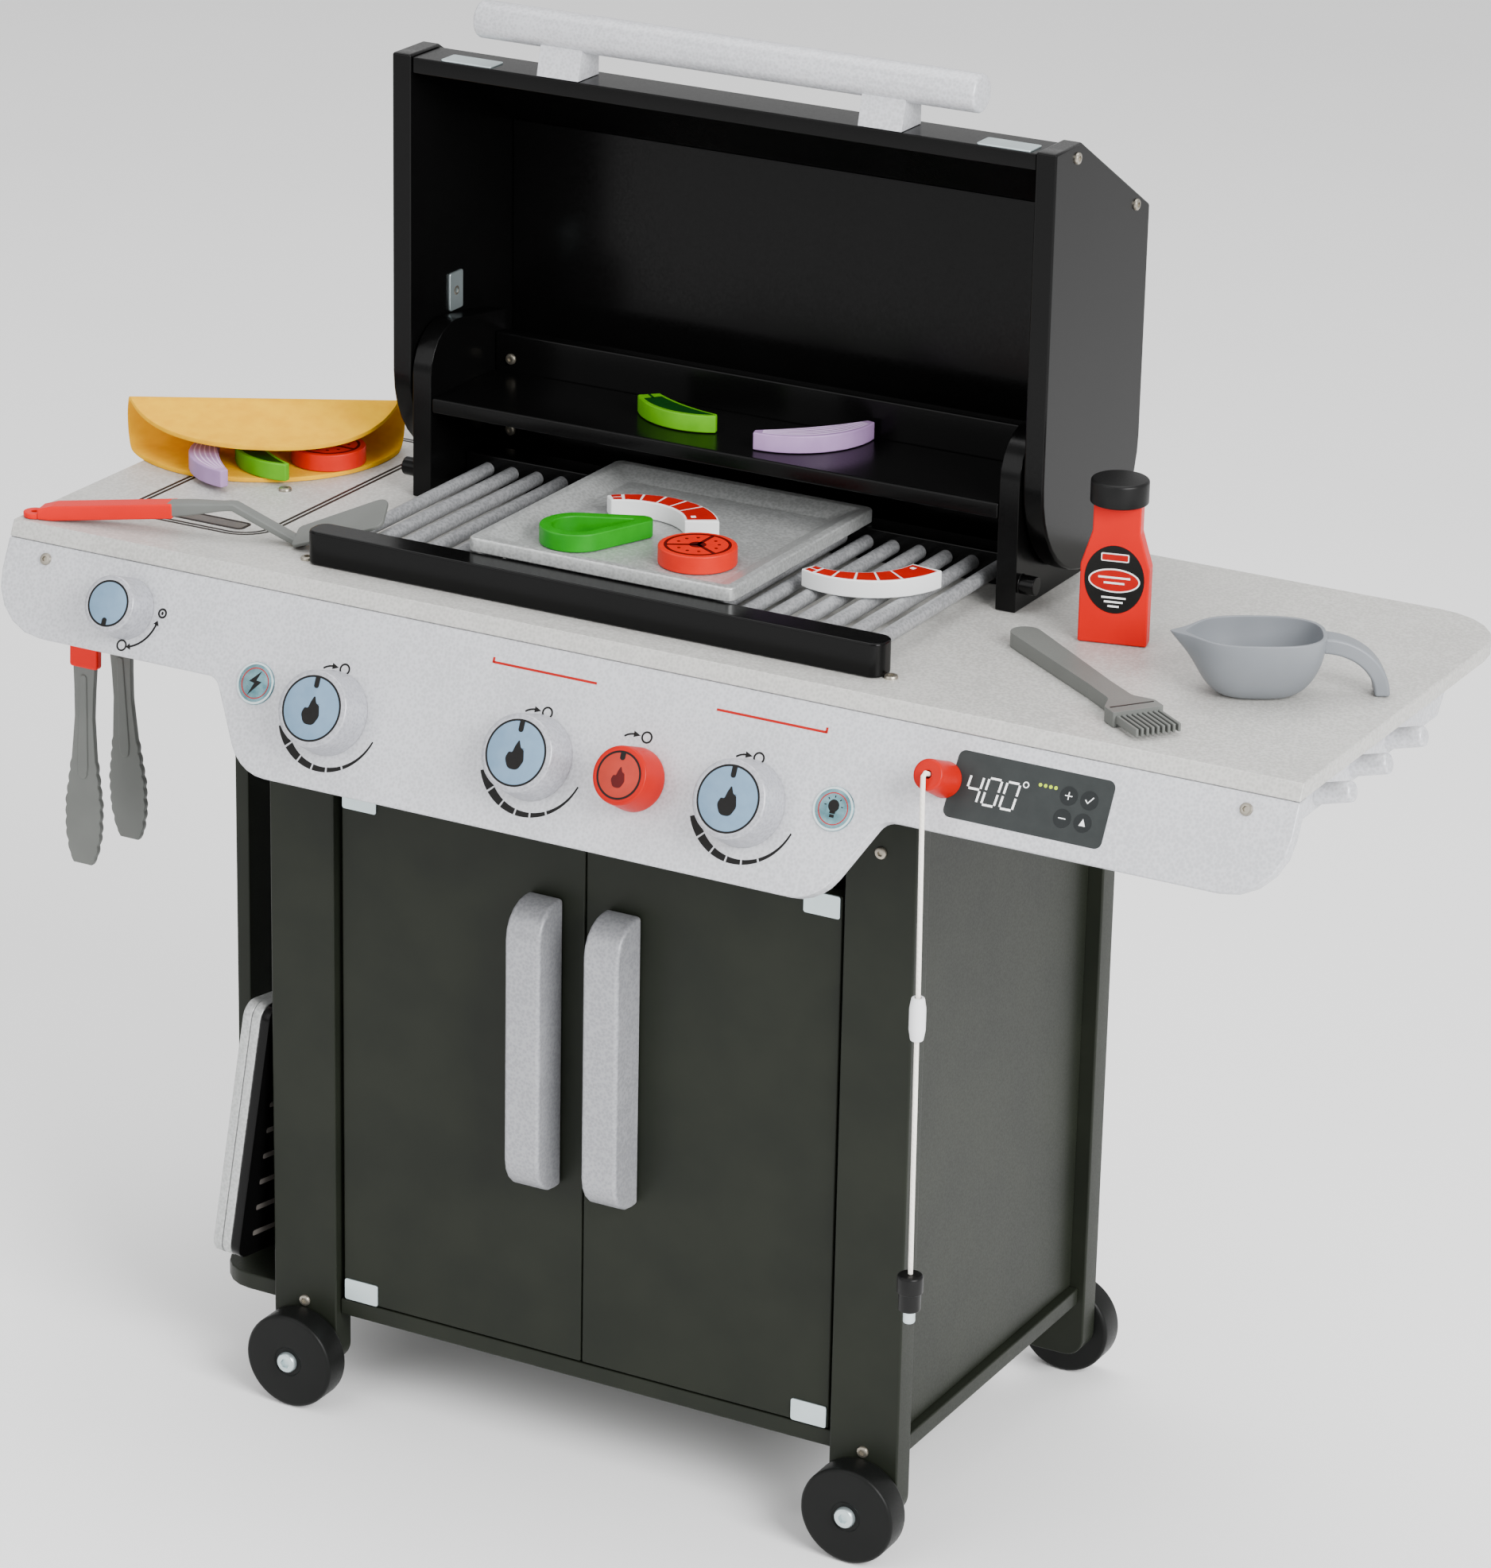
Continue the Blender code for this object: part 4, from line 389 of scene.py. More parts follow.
# Warm grey of the hob's strip and of the griddle bars
GREY_INK = PrintedInk("grey_print", "silver_paint", "55514d", "4f4b47", 0.5)
# Brick red of the bracket and the shrimp's bands
RED_INK = PrintedInk("red_print", "silver_paint", "a90805", "9f0704", specular=0.15)
# Dark red of the tomato's seeds
MAROON_INK = PrintedInk("maroon_print", "food_red", "4c0204", "440203", specular=0.2)
# Dark green of the chili's pod
DARK_GREEN_INK = PrintedInk("dark_green_print", "food_green", "063a09", "053407", specular=0.2)
# Pale rings of the onion
PALE_LILAC_INK = PrintedInk("pale_lilac_print", "food_white", "d6bfe0", "ceb6d8")
# Lamps of the screen
LIME_INK = PrintedInk("lime_print", "silver_paint", "b6d200", "adc800")
# White of digits and symbols
WHITE_INK = PrintedInk("white_print", "silver_paint", "f6f8f8", "f0f2f2")
# Blue grey of the knobs' faces
FACE_BLUE = PrintedInk("pale_blue_print", "knob_paint", "6f8da6", "68869f", 0.42)
# Dull red of the red knob's face
FACE_RED = PrintedInk("knob_red_print", "red_paint", "a8250f", "9e210d", 0.42)
# Dark grey of the screen
SCREEN_GREY = PrintedInk("screen_grey_print", "silver_paint", "272b2b", "232727", 0.4, specular=0.25)
# Darker keys on the screen
KEY_GREY = PrintedInk("key_grey_print", "silver_paint", "15191a", "121617", 0.4, specular=0.25)
# Pale paper of the studio
FLOOR = Finish(
    "pale_studio_floor", "silver_paint", "ffffff", "fdfdfd", 0.8, cloud_mm=400.0, relief_mm=0.01,
    specular=0.1,
)


class Axis(Enum):
    """The axis a prism is extruded along, as the order of its outline's two numbers and its level."""

    X = (2, 0, 1)
    Y = (0, 2, 1)
    Z = (0, 1, 2)


@dataclass(frozen=True)
class Station:
    """A place with its own axes on the toy, in design millimetres."""

    origin: Triple = (0.0, 0.0, 0.0)
    turn: Matrix | None = None

    def out(self, points: Array) -> Array:
        """Local millimetres as metres in the row frame: turned, moved by the origin and scaled."""
        turned_points = points if self.turn is None else points @ np.array(self.turn.to_3x3()).T
        return SHIFT + (turned_points + np.array(self.origin)) * MM


DESIGN = Station()
PANEL_TURN = Matrix.Rotation(math.pi / 2 - PANEL_TILT, 3, "X")
PANEL = Station(turn=PANEL_TURN)


def on_panel(x: float, drop: float, out: float = 0.0) -> Triple:
    """Design point x along the panel, drop down its slope and out in front of its face."""
    point = PANEL_TURN @ Vector((x, -drop, out))
    return (point.x, point.y, point.z)


def about_z(x: float, y: float, z: float, degrees: float) -> Station:
    """A level station at a point, turned about Z."""
    return Station((x, y, z), Matrix.Rotation(math.radians(degrees), 3, "Z"))


def facing(x: float, y: float, z: float, direction: Triple) -> Station:
    """A station at a point whose +Z looks along a direction."""
    turn = Vector(direction).to_track_quat("Z", "Y").to_matrix()
    return Station((x, y, z), turn)


def grid_quads(rows: int, columns: int, around: bool, looped: bool) -> list:
    """Corner numbers of the quads between neighbouring rows and columns of a grid.

    Args:
        rows: number of rows.
        columns: number of points in a row.
        around: whether each row closes on itself.
        looped: whether the last row joins the first.
    Returns:
        A list of four-number lists.
    """
    row = np.arange(rows if looped else rows - 1)[:, None]
    column = np.arange(columns if around else columns - 1)[None, :]
    next_row, next_column = (row + 1) % rows, (column + 1) % columns
    quads = np.stack([
        row * columns + column, row * columns + next_column,
        next_row * columns + next_column, next_row * columns + column,
    ], axis=-1)
    return quads.reshape(-1, 4).tolist()


def loft(rings: Array, looped: bool = False) -> Skin:
    """A skin over closed rings of points, one row of the array each.

    Args:
        rings: array of rings, points and three coordinates.
        looped: whether the last ring joins the first; if not, flat faces close both ends.
    Returns:
        Points and faces.
    """
    rows, columns = rings.shape[:2]
    faces = grid_quads(rows, columns, True, looped)
    if not looped:
        faces += [list(range(columns))[::-1], list(range((rows - 1) * columns, rows * columns))]
    return rings.reshape(-1, 3), faces


def rounded(corners: list[Triple], steps: int = 8) -> Array:
    """An outline whose corners (a, b, radius) are arcs that touch both sides.

    Args:
        corners: closed outline with a radius for each corner.
        steps: pieces of each arc.
    Returns:
        Array of points in order.
    """
    outline = []
    for index, (a, b, radius) in enumerate(corners):
        corner = np.array([a, b])
        if radius <= 0.0:
            outline.append(corner[None, :])
            continue
        before = np.array(corners[index - 1][:2]) - corner
        after = np.array(corners[(index + 1) % len(corners)][:2]) - corner
        before, after = before / np.linalg.norm(before), after / np.linalg.norm(after)
        half = math.acos(float(np.clip(before @ after, -1, 1))) / 2
        middle = before + after
        centre = corner + middle / np.linalg.norm(middle) * (radius / math.sin(half))
        start = corner + before * (radius / math.tan(half)) - centre
        sign = -1 if before[0] * after[1] - before[1] * after[0] > 0 else 1
        angle = sign * np.linspace(0, math.pi - 2 * half, steps + 1)[:, None]
        turned_start = np.hstack([
            start[0] * np.cos(angle) - start[1] * np.sin(angle),
            start[0] * np.sin(angle) + start[1] * np.cos(angle),
        ])
        outline.append(centre + turned_start)
    return np.vstack(outline)


def rectangle(low_a: float, high_a: float, low_b: float, high_b: float, radius: float = 0.0) -> Array:
    """A rectangle's outline, all its corners with one radius.

    Args:
        low_a: lowest first number.
        high_a: highest first number.
        low_b: lowest second number.
        high_b: highest second number.
        radius: radius of the corners.
    Returns:
        Array of points.
    """
    return rounded([
        (low_a, low_b, radius), (high_a, low_b, radius), (high_a, high_b, radius), (low_a, high_b, radius),
    ])


def mirrored(half: list[Triple]) -> list[Triple]:
    """An outline from its right half, bottom to top: the same corners come back with a below zero."""
    return half + [(-a, b, radius) for a, b, radius in reversed(half)]


def ellipse(a: float, b: float, half_a: float, half_b: float, sides: int = 48) -> Array:
    """An ellipse's outline: its half axes times cosine and sine round its centre."""
    angle = np.arange(sides) * 2 * math.pi / sides
    return np.stack([a + half_a * np.cos(angle), b + half_b * np.sin(angle)], axis=1)


def arc(a: float, b: float, radius: float, start: float, end: float, count: int = 24) -> Array:
    """Points on an arc between two angles in degrees."""
    angle = np.radians(np.linspace(start, end, count))
    return np.stack([a + radius * np.cos(angle), b + radius * np.sin(angle)], axis=1)


def line(*points: tuple[float, float], count: int = 2) -> Array:
    """Evenly spaced points on the straight lines between the given ones.

    Args:
        points: the corners the path passes.
        count: points on each straight line, both ends counted.
    Returns:
        Array of points.
    """
    path = np.array(points, float)
    share = np.linspace(0, len(path) - 1, (len(path) - 1) * (count - 1) + 1)
    return np.stack([np.interp(share, np.arange(len(path)), path[:, axis]) for axis in (0, 1)], axis=1)


def prism(outline: Array, low: float, high: float, axis: Axis = Axis.Z) -> Skin:
    """An outline carried straight from one level to another along an axis.

    Args:
        outline: closed outline of two numbers a point.
        low: level where it starts.
        high: level where it ends.
        axis: the axis it is carried along.
    Returns:
        Points and faces.
    """
    levels = np.array([low, high])[:, None, None]
    flat = np.broadcast_to(outline, (2, *outline.shape))
    rings = np.concatenate([flat, np.broadcast_to(levels, (2, len(outline), 1))], axis=2)
    return loft(rings[:, :, list(axis.value)])


def printed(outline: Array, layers: int = 1, face: float = 0.0) -> Skin:
    """An outline printed on a face that looks along +Z; it sinks in and stands out by ink layers."""
    return prism(outline, face - PRINT_SINK, face + layers * PRINT_RISE)


def turned(profile: list[tuple[float, float]], sides: int = 64, looped: bool = False) -> Skin:
    """A profile of radius and height spun round Z: radius times cosine and sine at each height.

    Args:
        profile: its points.
        sides: faces round the axis.
        looped: whether the profile closes on itself, as it does for a ring.
    Returns:
        Points and faces.
    """
    points = np.array(profile)
    angle = np.arange(sides) * 2 * math.pi / sides
    rings = np.stack([
        points[:, :1] * np.cos(angle), points[:, :1] * np.sin(angle),
        np.broadcast_to(points[:, 1:], (len(points), sides)),
    ], axis=2)
    return loft(rings, looped)


def lathed(corners: list[Triple], sides: int = 64, steps: int = 4, looped: bool = False) -> Skin:
    """A turned skin whose profile has eased corners (radius, height, round)."""
    return turned([tuple(point) for point in rounded(corners, steps)], sides, looped)


def moved(skin: Skin, x: float = 0.0, z: float = 0.0) -> Skin:
    """A skin moved along X and Z."""
    return skin[0] + np.array([x, 0, z]), skin[1]


def strip(
    path: Array, width: float | Array, looped: bool = False,
    low: float = -PRINT_SINK, high: float = PRINT_RISE,
) -> Skin:
    """A thin band along a flat path: each point moved half the width to both sides.

    Args:
        path: points of the middle line.
        width: full width, or one for each point.
        looped: whether the path closes.
        low: level of the band's underside.
        high: level of its top.
    Returns:
        Points and faces.
    """
    if looped:
        along = np.roll(path, -1, axis=0) - np.roll(path, 1, axis=0)
    else:
        along = np.gradient(path, axis=0)
    along = along / np.linalg.norm(along, axis=1, keepdims=True)
    normal = np.stack([-along[:, 1], along[:, 0]], axis=1) * (np.broadcast_to(width, len(path)) / 2)[:, None]
    left, right = path + normal, path - normal
    level = np.ones((len(path), 1))
    rings = np.stack([
        np.hstack([left, level * low]), np.hstack([left, level * high]),
        np.hstack([right, level * high]), np.hstack([right, level * low]),
    ], axis=1)
    return loft(rings, looped)


def swept(path: Array, side: Triple, profile: Array) -> Skin:
    """A flat profile carried along a path in space; its first number runs along a fixed side vector.

    Args:
        path: points of the middle line.
        side: a direction that is nowhere along the path.
        profile: closed outline, or one outline for each point of the path.
    Returns:
        Points and faces.
    """
    along = np.gradient(path, axis=0)
    along = along / np.linalg.norm(along, axis=1, keepdims=True)
    across = np.cross(along, np.array(side))
    across = across / np.linalg.norm(across, axis=1, keepdims=True)
    sideways = np.cross(across, along)
    outline = np.broadcast_to(profile, (len(path), *np.shape(profile)[-2:]))
    return loft(path[:, None] + outline[..., :1] * sideways[:, None] + outline[..., 1:] * across[:, None])


def mesh_of(name: str, skins: list[Skin], station: Station) -> bpy.types.Mesh:
    """One mesh of closed skins, each merged and turned outwards, in the row frame.

    Args:
        name: the mesh's name.
        skins: points in the station's millimetres, and faces.
        station: where the skins stand.
    Returns:
        The mesh.
    """
    whole = bmesh.new()
    for points, faces in skins:
        part = bpy.data.meshes.new(name)
        part.from_pydata(station.out(points).tolist(), [], faces)
        skin = bmesh.new()
        skin.from_mesh(part)
        bmesh.ops.remove_doubles(skin, verts=skin.verts, dist=MERGE)
        bmesh.ops.recalc_face_normals(skin, faces=skin.faces)
        skin.to_mesh(part)
        skin.free()
        whole.from_mesh(part)
        bpy.data.meshes.remove(part)
    mesh = bpy.data.meshes.new(name)
    whole.to_mesh(mesh)
    whole.free()
    return mesh


def add_piece(
    name: str, mesh: bpy.types.Mesh, finish: Finish, body: str = "root",
    replaces: tuple[str, ...] = (), bevel: float = 0.0, segments: int = 2,
) -> bpy.types.Object:
    """Puts a finished mesh into the scene as a piece of the toy.

    Args:
        name: the piece's name.
        mesh: its mesh in the row frame.
        finish: what it is painted or made of.
        body: the CAD body it moves with.
        replaces: the CAD nodes it stands for.
        bevel: width in millimetres of its eased edges.
        segments: faces across an eased edge.
    Returns:
        The new object.
    """
    obj = bpy.data.objects.new(name, mesh)
    bpy.context.scene.collection.objects.link(obj)
    mesh.materials.clear()
    mesh.materials.append(finish.material())
    mesh.shade_smooth()
    if bevel > 0.0:
        edge = obj.modifiers.new("eased_edges", "BEVEL")
        edge.width = bevel * MM
        edge.segments = segments
        edge.limit_method = "ANGLE"
        edge.angle_limit = CREASE
        weighted = obj.modifiers.new("flat_faces", "WEIGHTED_NORMAL")
        weighted.keep_sharp = True
    else:
        mesh.set_sharp_from_angle(angle=CREASE)
    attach(obj, body)
    if replaces:
        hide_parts(*replaces)
    LOG.info("%s on %s", name, body)
    return obj


def add_skins(
    name: str, skins: list[Skin], finish: Finish, station: Station = DESIGN, body: str = "root",
    replaces: tuple[str, ...] = (), bevel: float = 0.0, segments: int = 2,
) -> bpy.types.Object:
    """Adds a piece made of closed skins at a station; the rest is as for mesh_of and add_piece."""
    return add_piece(name, mesh_of(name, skins, station), finish, body, replaces, bevel, segments)


NODE_BODY = {
    node: body for body, nodes in frame["record"]["behaviour"]["bodies"].items() for node in nodes
}


def ease_node(node: str, finish: Finish, bevel: float, segments: int = 2) -> bpy.types.Object:
    """Stands a merged copy of a CAD node with eased edges in the node's place.

    Args:
        node: the CAD node's name.
        finish: its paint.
        bevel: width of the eased edges in millimetres.
        segments: faces across an edge.
    Returns:
        The new piece.
    """
    copy = bmesh.new()
    copy.from_mesh(frame["nodes"][node].data)
    bmesh.ops.remove_doubles(copy, verts=copy.verts, dist=MERGE)
    bmesh.ops.dissolve_limit(
        copy, angle_limit=math.radians(0.5), verts=copy.verts, edges=copy.edges,
        use_dissolve_boundaries=False,
    )
    mesh = bpy.data.meshes.new(f"{node}_eased")
    copy.to_mesh(mesh)
    copy.free()
    return add_piece(f"{node}_eased", mesh, finish, NODE_BODY[node], (node,), bevel, segments)


@dataclass
class Studio:
    """Camera, floor and soft lights; lights are placed in metres."""

    eye: Triple = (1398.07, -2441.51, 1009.66)
    azimuth: float = 28.40
    elevation: float = 20.95
    roll: float = 1.22
    lens: float = 137.4
    sensor: float = 36.0
    aim: Triple = (0.0, 0.0, 0.45)
    sky_strength: float = 0.85
    floor_half: float = 12000.0
    floor_top: float = 0.5
    floor_bottom: float = 50.0

    def camera(self) -> None:
        """Stands the camera at the photograph's place, turned by azimuth, elevation and roll."""
        az, el, roll = (math.radians(angle) for angle in (self.azimuth, self.elevation, self.roll))
        view = Vector((math.sin(az) * math.cos(el), -math.cos(az) * math.cos(el), math.sin(el)))
        right = (-view).cross(Vector((0, 0, 1))).normalized()
        up = right.cross(-view).normalized()
        level = right * math.cos(roll) + up * math.sin(roll)
        upright = up * math.cos(roll) - right * math.sin(roll)
        data = bpy.data.cameras.new("camera")
        data.lens, data.sensor_width, data.sensor_fit = self.lens, self.sensor, "HORIZONTAL"
        data.clip_end = 100.0
        camera = bpy.data.objects.new("camera", data)
        bpy.context.scene.collection.objects.link(camera)
        turn = Matrix((level, upright, view)).transposed().to_4x4()
        place = SHIFT + np.array(self.eye) * MM
        camera.matrix_world = Matrix.Translation(place.tolist()) @ turn
        bpy.context.scene.camera = camera

    def light(self, name: str, place: Triple, size: float, power: float) -> None:
        """A square soft light that points at the toy's middle.

        Args:
            name: the light's name.
            place: where it hangs.
            size: length of its side.
            power: watts.
        """
        data = bpy.data.lights.new(name, "AREA")
        data.energy, data.size = power, size
        lamp = bpy.data.objects.new(name, data)
        bpy.context.scene.collection.objects.link(lamp)
        target = Vector(self.aim) - Vector(place)
        lamp.matrix_world = Matrix.Translation(place) @ target.to_track_quat("-Z", "Y").to_matrix().to_4x4()

    def build(self) -> None:
        """Makes camera, lights, sky and floor."""
        self.camera()
        self.light("key_light", (2.4, -1.2, 1.8), 1.5, 150.0)
        self.light("front_light", (-1.2, -3.2, 2.2), 2.6, 45.0)
        self.light("top_light", (-0.4, 0.4, 3.2), 2.6, 75.0)
        world = bpy.data.worlds.new("studio")
        world.use_nodes = True
        sky = world.node_tree.nodes["Background"]
        sky.inputs["Color"].default_value = linear("ffffff")
        sky.inputs["Strength"].default_value = self.sky_strength
        bpy.context.scene.world = world
        half = self.floor_half
        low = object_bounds()[0][2] / MM - SHIFT[2] / MM
        slab = prism(rectangle(-half, half, -half, half), low - self.floor_bottom, low - self.floor_top)
        mesh = mesh_of("floor", [slab], DESIGN)
        floor = bpy.data.objects.new("floor", mesh)
        bpy.context.scene.collection.objects.link(floor)
        mesh.materials.append(FLOOR.material())
        floor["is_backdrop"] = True


def smooth_route(points: Array, count: int, steps: int = 24) -> Array:
    """Evenly spaced points on a Catmull-Rom curve: each cubic stretch is read at a number of steps,
    then the whole line is read again at equal lengths.

    Args:
        points: the points it passes through.
        count: how many points to return.
        steps: readings of each stretch.
    Returns:
        Array of points.
    """
    padded = np.vstack([2 * points[0] - points[1], points, 2 * points[-1] - points[-2]])
    a, b, c, d = (padded[index:len(points) - 1 + index, None] for index in range(4))
    t = (np.arange(steps) / steps)[None, :, None]
    cubic = 0.5 * (2 * b + (c - a) * t + (2 * a - 5 * b + 4 * c - d) * t**2 + (3 * b - a - 3 * c + d) * t**3)
    dense = np.vstack([cubic.reshape(-1, 3), points[-1]])
    run = np.concatenate([[0], np.cumsum(np.linalg.norm(np.diff(dense, axis=0), axis=1))])
    target = np.linspace(0, run[-1], count)
    return np.stack([np.interp(target, run, dense[:, axis]) for axis in range(3)], axis=1)


@dataclass
class ProbeCord:
    """The probe that hangs on its cord from the red holder."""

    holder_x: float = 198.9
    holder_drop: float = 25.0
    holder_length: float = 22.0
    holder_radius: float = 8.2
    bore_radius: float = 2.2
    bore_depth: float = 8.0
    cord_radius: float = 1.3
    drift: float = 2.2
    bead_top: float = -134.0
    bead_length: float = 24.0
    bead_radius: float = 4.4
    probe_top: float = -291.0
    probe_length: float = 20.5
    probe_radius: float = 7.0

    def route(self) -> tuple[Array, Triple, Triple]:
        """The cord's line: out of the holder, over a short bend and straight down.

        Returns:
            The line's points, the bead's middle and the probe's top.
        """
        seat = self.holder_length - self.bore_depth + 2 * AIR
        start = np.array(on_panel(self.holder_x, self.holder_drop, seat))
        out = np.array(on_panel(self.holder_x, self.holder_drop, self.holder_length + 3.5))
        hang = out + np.array([0.0, -1.5, -6.0])
        drift = np.array([self.drift, 0.0, 0.0])
        bead_top = np.array([hang[0], hang[1], self.bead_top]) + 0.6 * drift
        bead_end = bead_top - np.array([0.0, 0.0, self.bead_length])
        probe_top = np.array([hang[0], hang[1], self.probe_top]) + drift
        end = probe_top + np.array([0.0, 0.0, AIR])
        points = smooth_route(np.array([
            start, out, hang, (hang + bead_top) / 2, bead_top, bead_end, (bead_end + probe_top) / 2, end,
        ]), 60)
        return points, tuple((bead_top + bead_end) / 2), tuple(probe_top)

    def bead(self, middle: Triple) -> bpy.types.Object:
        """The sliding bead, a barrel with a bore.

        Args:
            middle: its middle.
        Returns:
            The new piece.
        """
        half, wide = self.bead_length / 2, self.bead_radius
        barrel = lathed([
            (1.9, -half, 0.3), (wide - 1, -half, 0.8), (wide, -half / 2, 2.5), (wide, half / 2, 2.5),
            (wide - 1, half, 0.8), (1.9, half, 0.3),
        ], 40, looped=True)
        return add_skins("sliding_bead", [barrel], WHITE_PLASTIC, Station(middle), replaces=("cord_bead",))

    def probe(self, top: Triple) -> list[bpy.types.Object]:
        """The probe's stepped handle and its steel tip.

        Args:
            top: where the cord meets it.
        Returns:
            Handle and tip.
        """
        place, length, wide = Station(top), self.probe_length, self.probe_radius
        handle = lathed([
            (0, -length, 0), (0.86 * wide, -length, 1.0), (0.86 * wide, -length / 2, 0.3),
            (wide, -length / 2, 0.6), (wide, 0.0, 1.6), (0, 0.0, 0),
        ], 48)
        tip = lathed([(0, -28.0, 0), (3.3, -28.0, 1.4), (3.3, 0.5 - length, 0), (0, 0.5 - length, 0)], 32)
        return [
            add_skins("probe_handle", [handle], BLACK_PLASTIC, place, replaces=("probe",)),
            add_skins("probe_tip", [tip], ZINC, place, replaces=("probe",)),
        ]

    def build(self) -> None:
        route, bead_middle, probe_top = self.route()
        section = ellipse(0, 0, self.cord_radius, self.cord_radius, 16)
        skin = swept(route, (1.0, 0.0, 0.0), section)
        cord = add_skins("hanging_cord", [skin], CORD, replaces=("probe_cord",))
        bead = self.bead(bead_middle)
        probe, tip = self.probe(probe_top)
        wide, front, bore = self.holder_radius, self.holder_length, self.bore_radius
        seat = front - self.bore_depth
        holder = lathed([
            (0, 0.2, 0), (wide + 1.5, 0.2, 0.3), (wide + 1.3, 1.6, 0.6), (wide, front, 1.5),
            (bore, front, 0.4), (bore, seat, 0), (0, seat, 0),
        ], 48)
        place = Station(on_panel(self.holder_x, self.holder_drop), PANEL_TURN)
        add_skins("probe_holder_peg", [holder], RED, place, replaces=("probe_holder",))


def bolt_skin(radius: float) -> Skin:
    """A low round bolt head with a hexagonal socket, in its own frame with its top along +Z.

    Each ring is a circle, or for the socket a hexagon: its flat distance over the cosine of the
    angle from the middle of the side.

    Args:
        radius: radius of the head.
    Returns:
        Points and faces.
    """
    angle = np.arange(48) * 2 * math.pi / 48
    hexagon = 0.5 * radius * math.cos(math.pi / 6) / np.cos((angle % (math.pi / 3)) - math.pi / 6)
    circle = np.ones(48)
    rings = [
        (circle * radius, -0.5), (circle * radius, 0.25 * radius), (circle * radius * 0.9, 0.4 * radius),
        (circle * radius * 0.72, 0.47 * radius), (hexagon, 0.47 * radius), (hexagon, 0.15 * radius),
    ]
    return loft(np.array([
        np.stack([reach * np.cos(angle), reach * np.sin(angle), np.full(48, level)], axis=1)
        for reach, level in rings
    ]))


def add_bolts(name: str, places: list[Station], radius: float, body: str = "root") -> None:
    """One piece with a bolt head at each station.

    Args:
        name: the piece's name.
        places: stations with their +Z out of the bolted face.
        radius: radius of the heads.
        body: the CAD body they move with.
    """
    points, faces = bolt_skin(radius)
    add_skins(name, [((place.out(points) - SHIFT) / MM, faces) for place in places], SCREW_STEEL, body=body)


@dataclass
class Worktop:
    """The worktop board with its printed side hob at the left and its bolts."""

    left: float = -350.0
    right: float = -257.0
    front: float = 46.0
    back: float = 245.0
    corner: float = 20.0
    line_width: float = 1.9
    line_gap: float = 3.2
    bolt_half: float = 179.5
    bolt_y: float = 32.0
    side_bolt: tuple[float, float] = (-256.0, 127.0)
    bolt_radius: float = 3.8

    def build(self) -> None:
        """Dresses the board and lays the print and the bolts on it."""
        ease_node("worktop", WORKTOP_SILVER, 0.8)
        top = Station((0.0, 0.0, DECK))
        gap = self.line_gap
        outer = rectangle(self.left, self.right, self.front, self.back, self.corner)
        inner = rectangle(
            self.left + gap, self.right - gap, self.front + gap, self.back - gap, self.corner - 3,
        )
        bar = rectangle(self.left + 16, self.right - 16, self.front + 9, self.front + 20, 3)
        add_skins("hob_outline_print", [
            strip(outer, self.line_width, True), strip(inner, self.line_width, True),
            strip(bar, self.line_width, True, 0, 2 * PRINT_RISE),
        ], BROWN_INK, top)
        add_skins("hob_strip_print", [printed(bar)], GREY_INK, top)
        add_bolts("worktop_bolts", [
            facing(HEAD_X + x, y, DECK, (0, 0, 1))
            for x, y in ((-self.bolt_half, self.bolt_y), (self.bolt_half, self.bolt_y), self.side_bolt)
        ], self.bolt_radius)


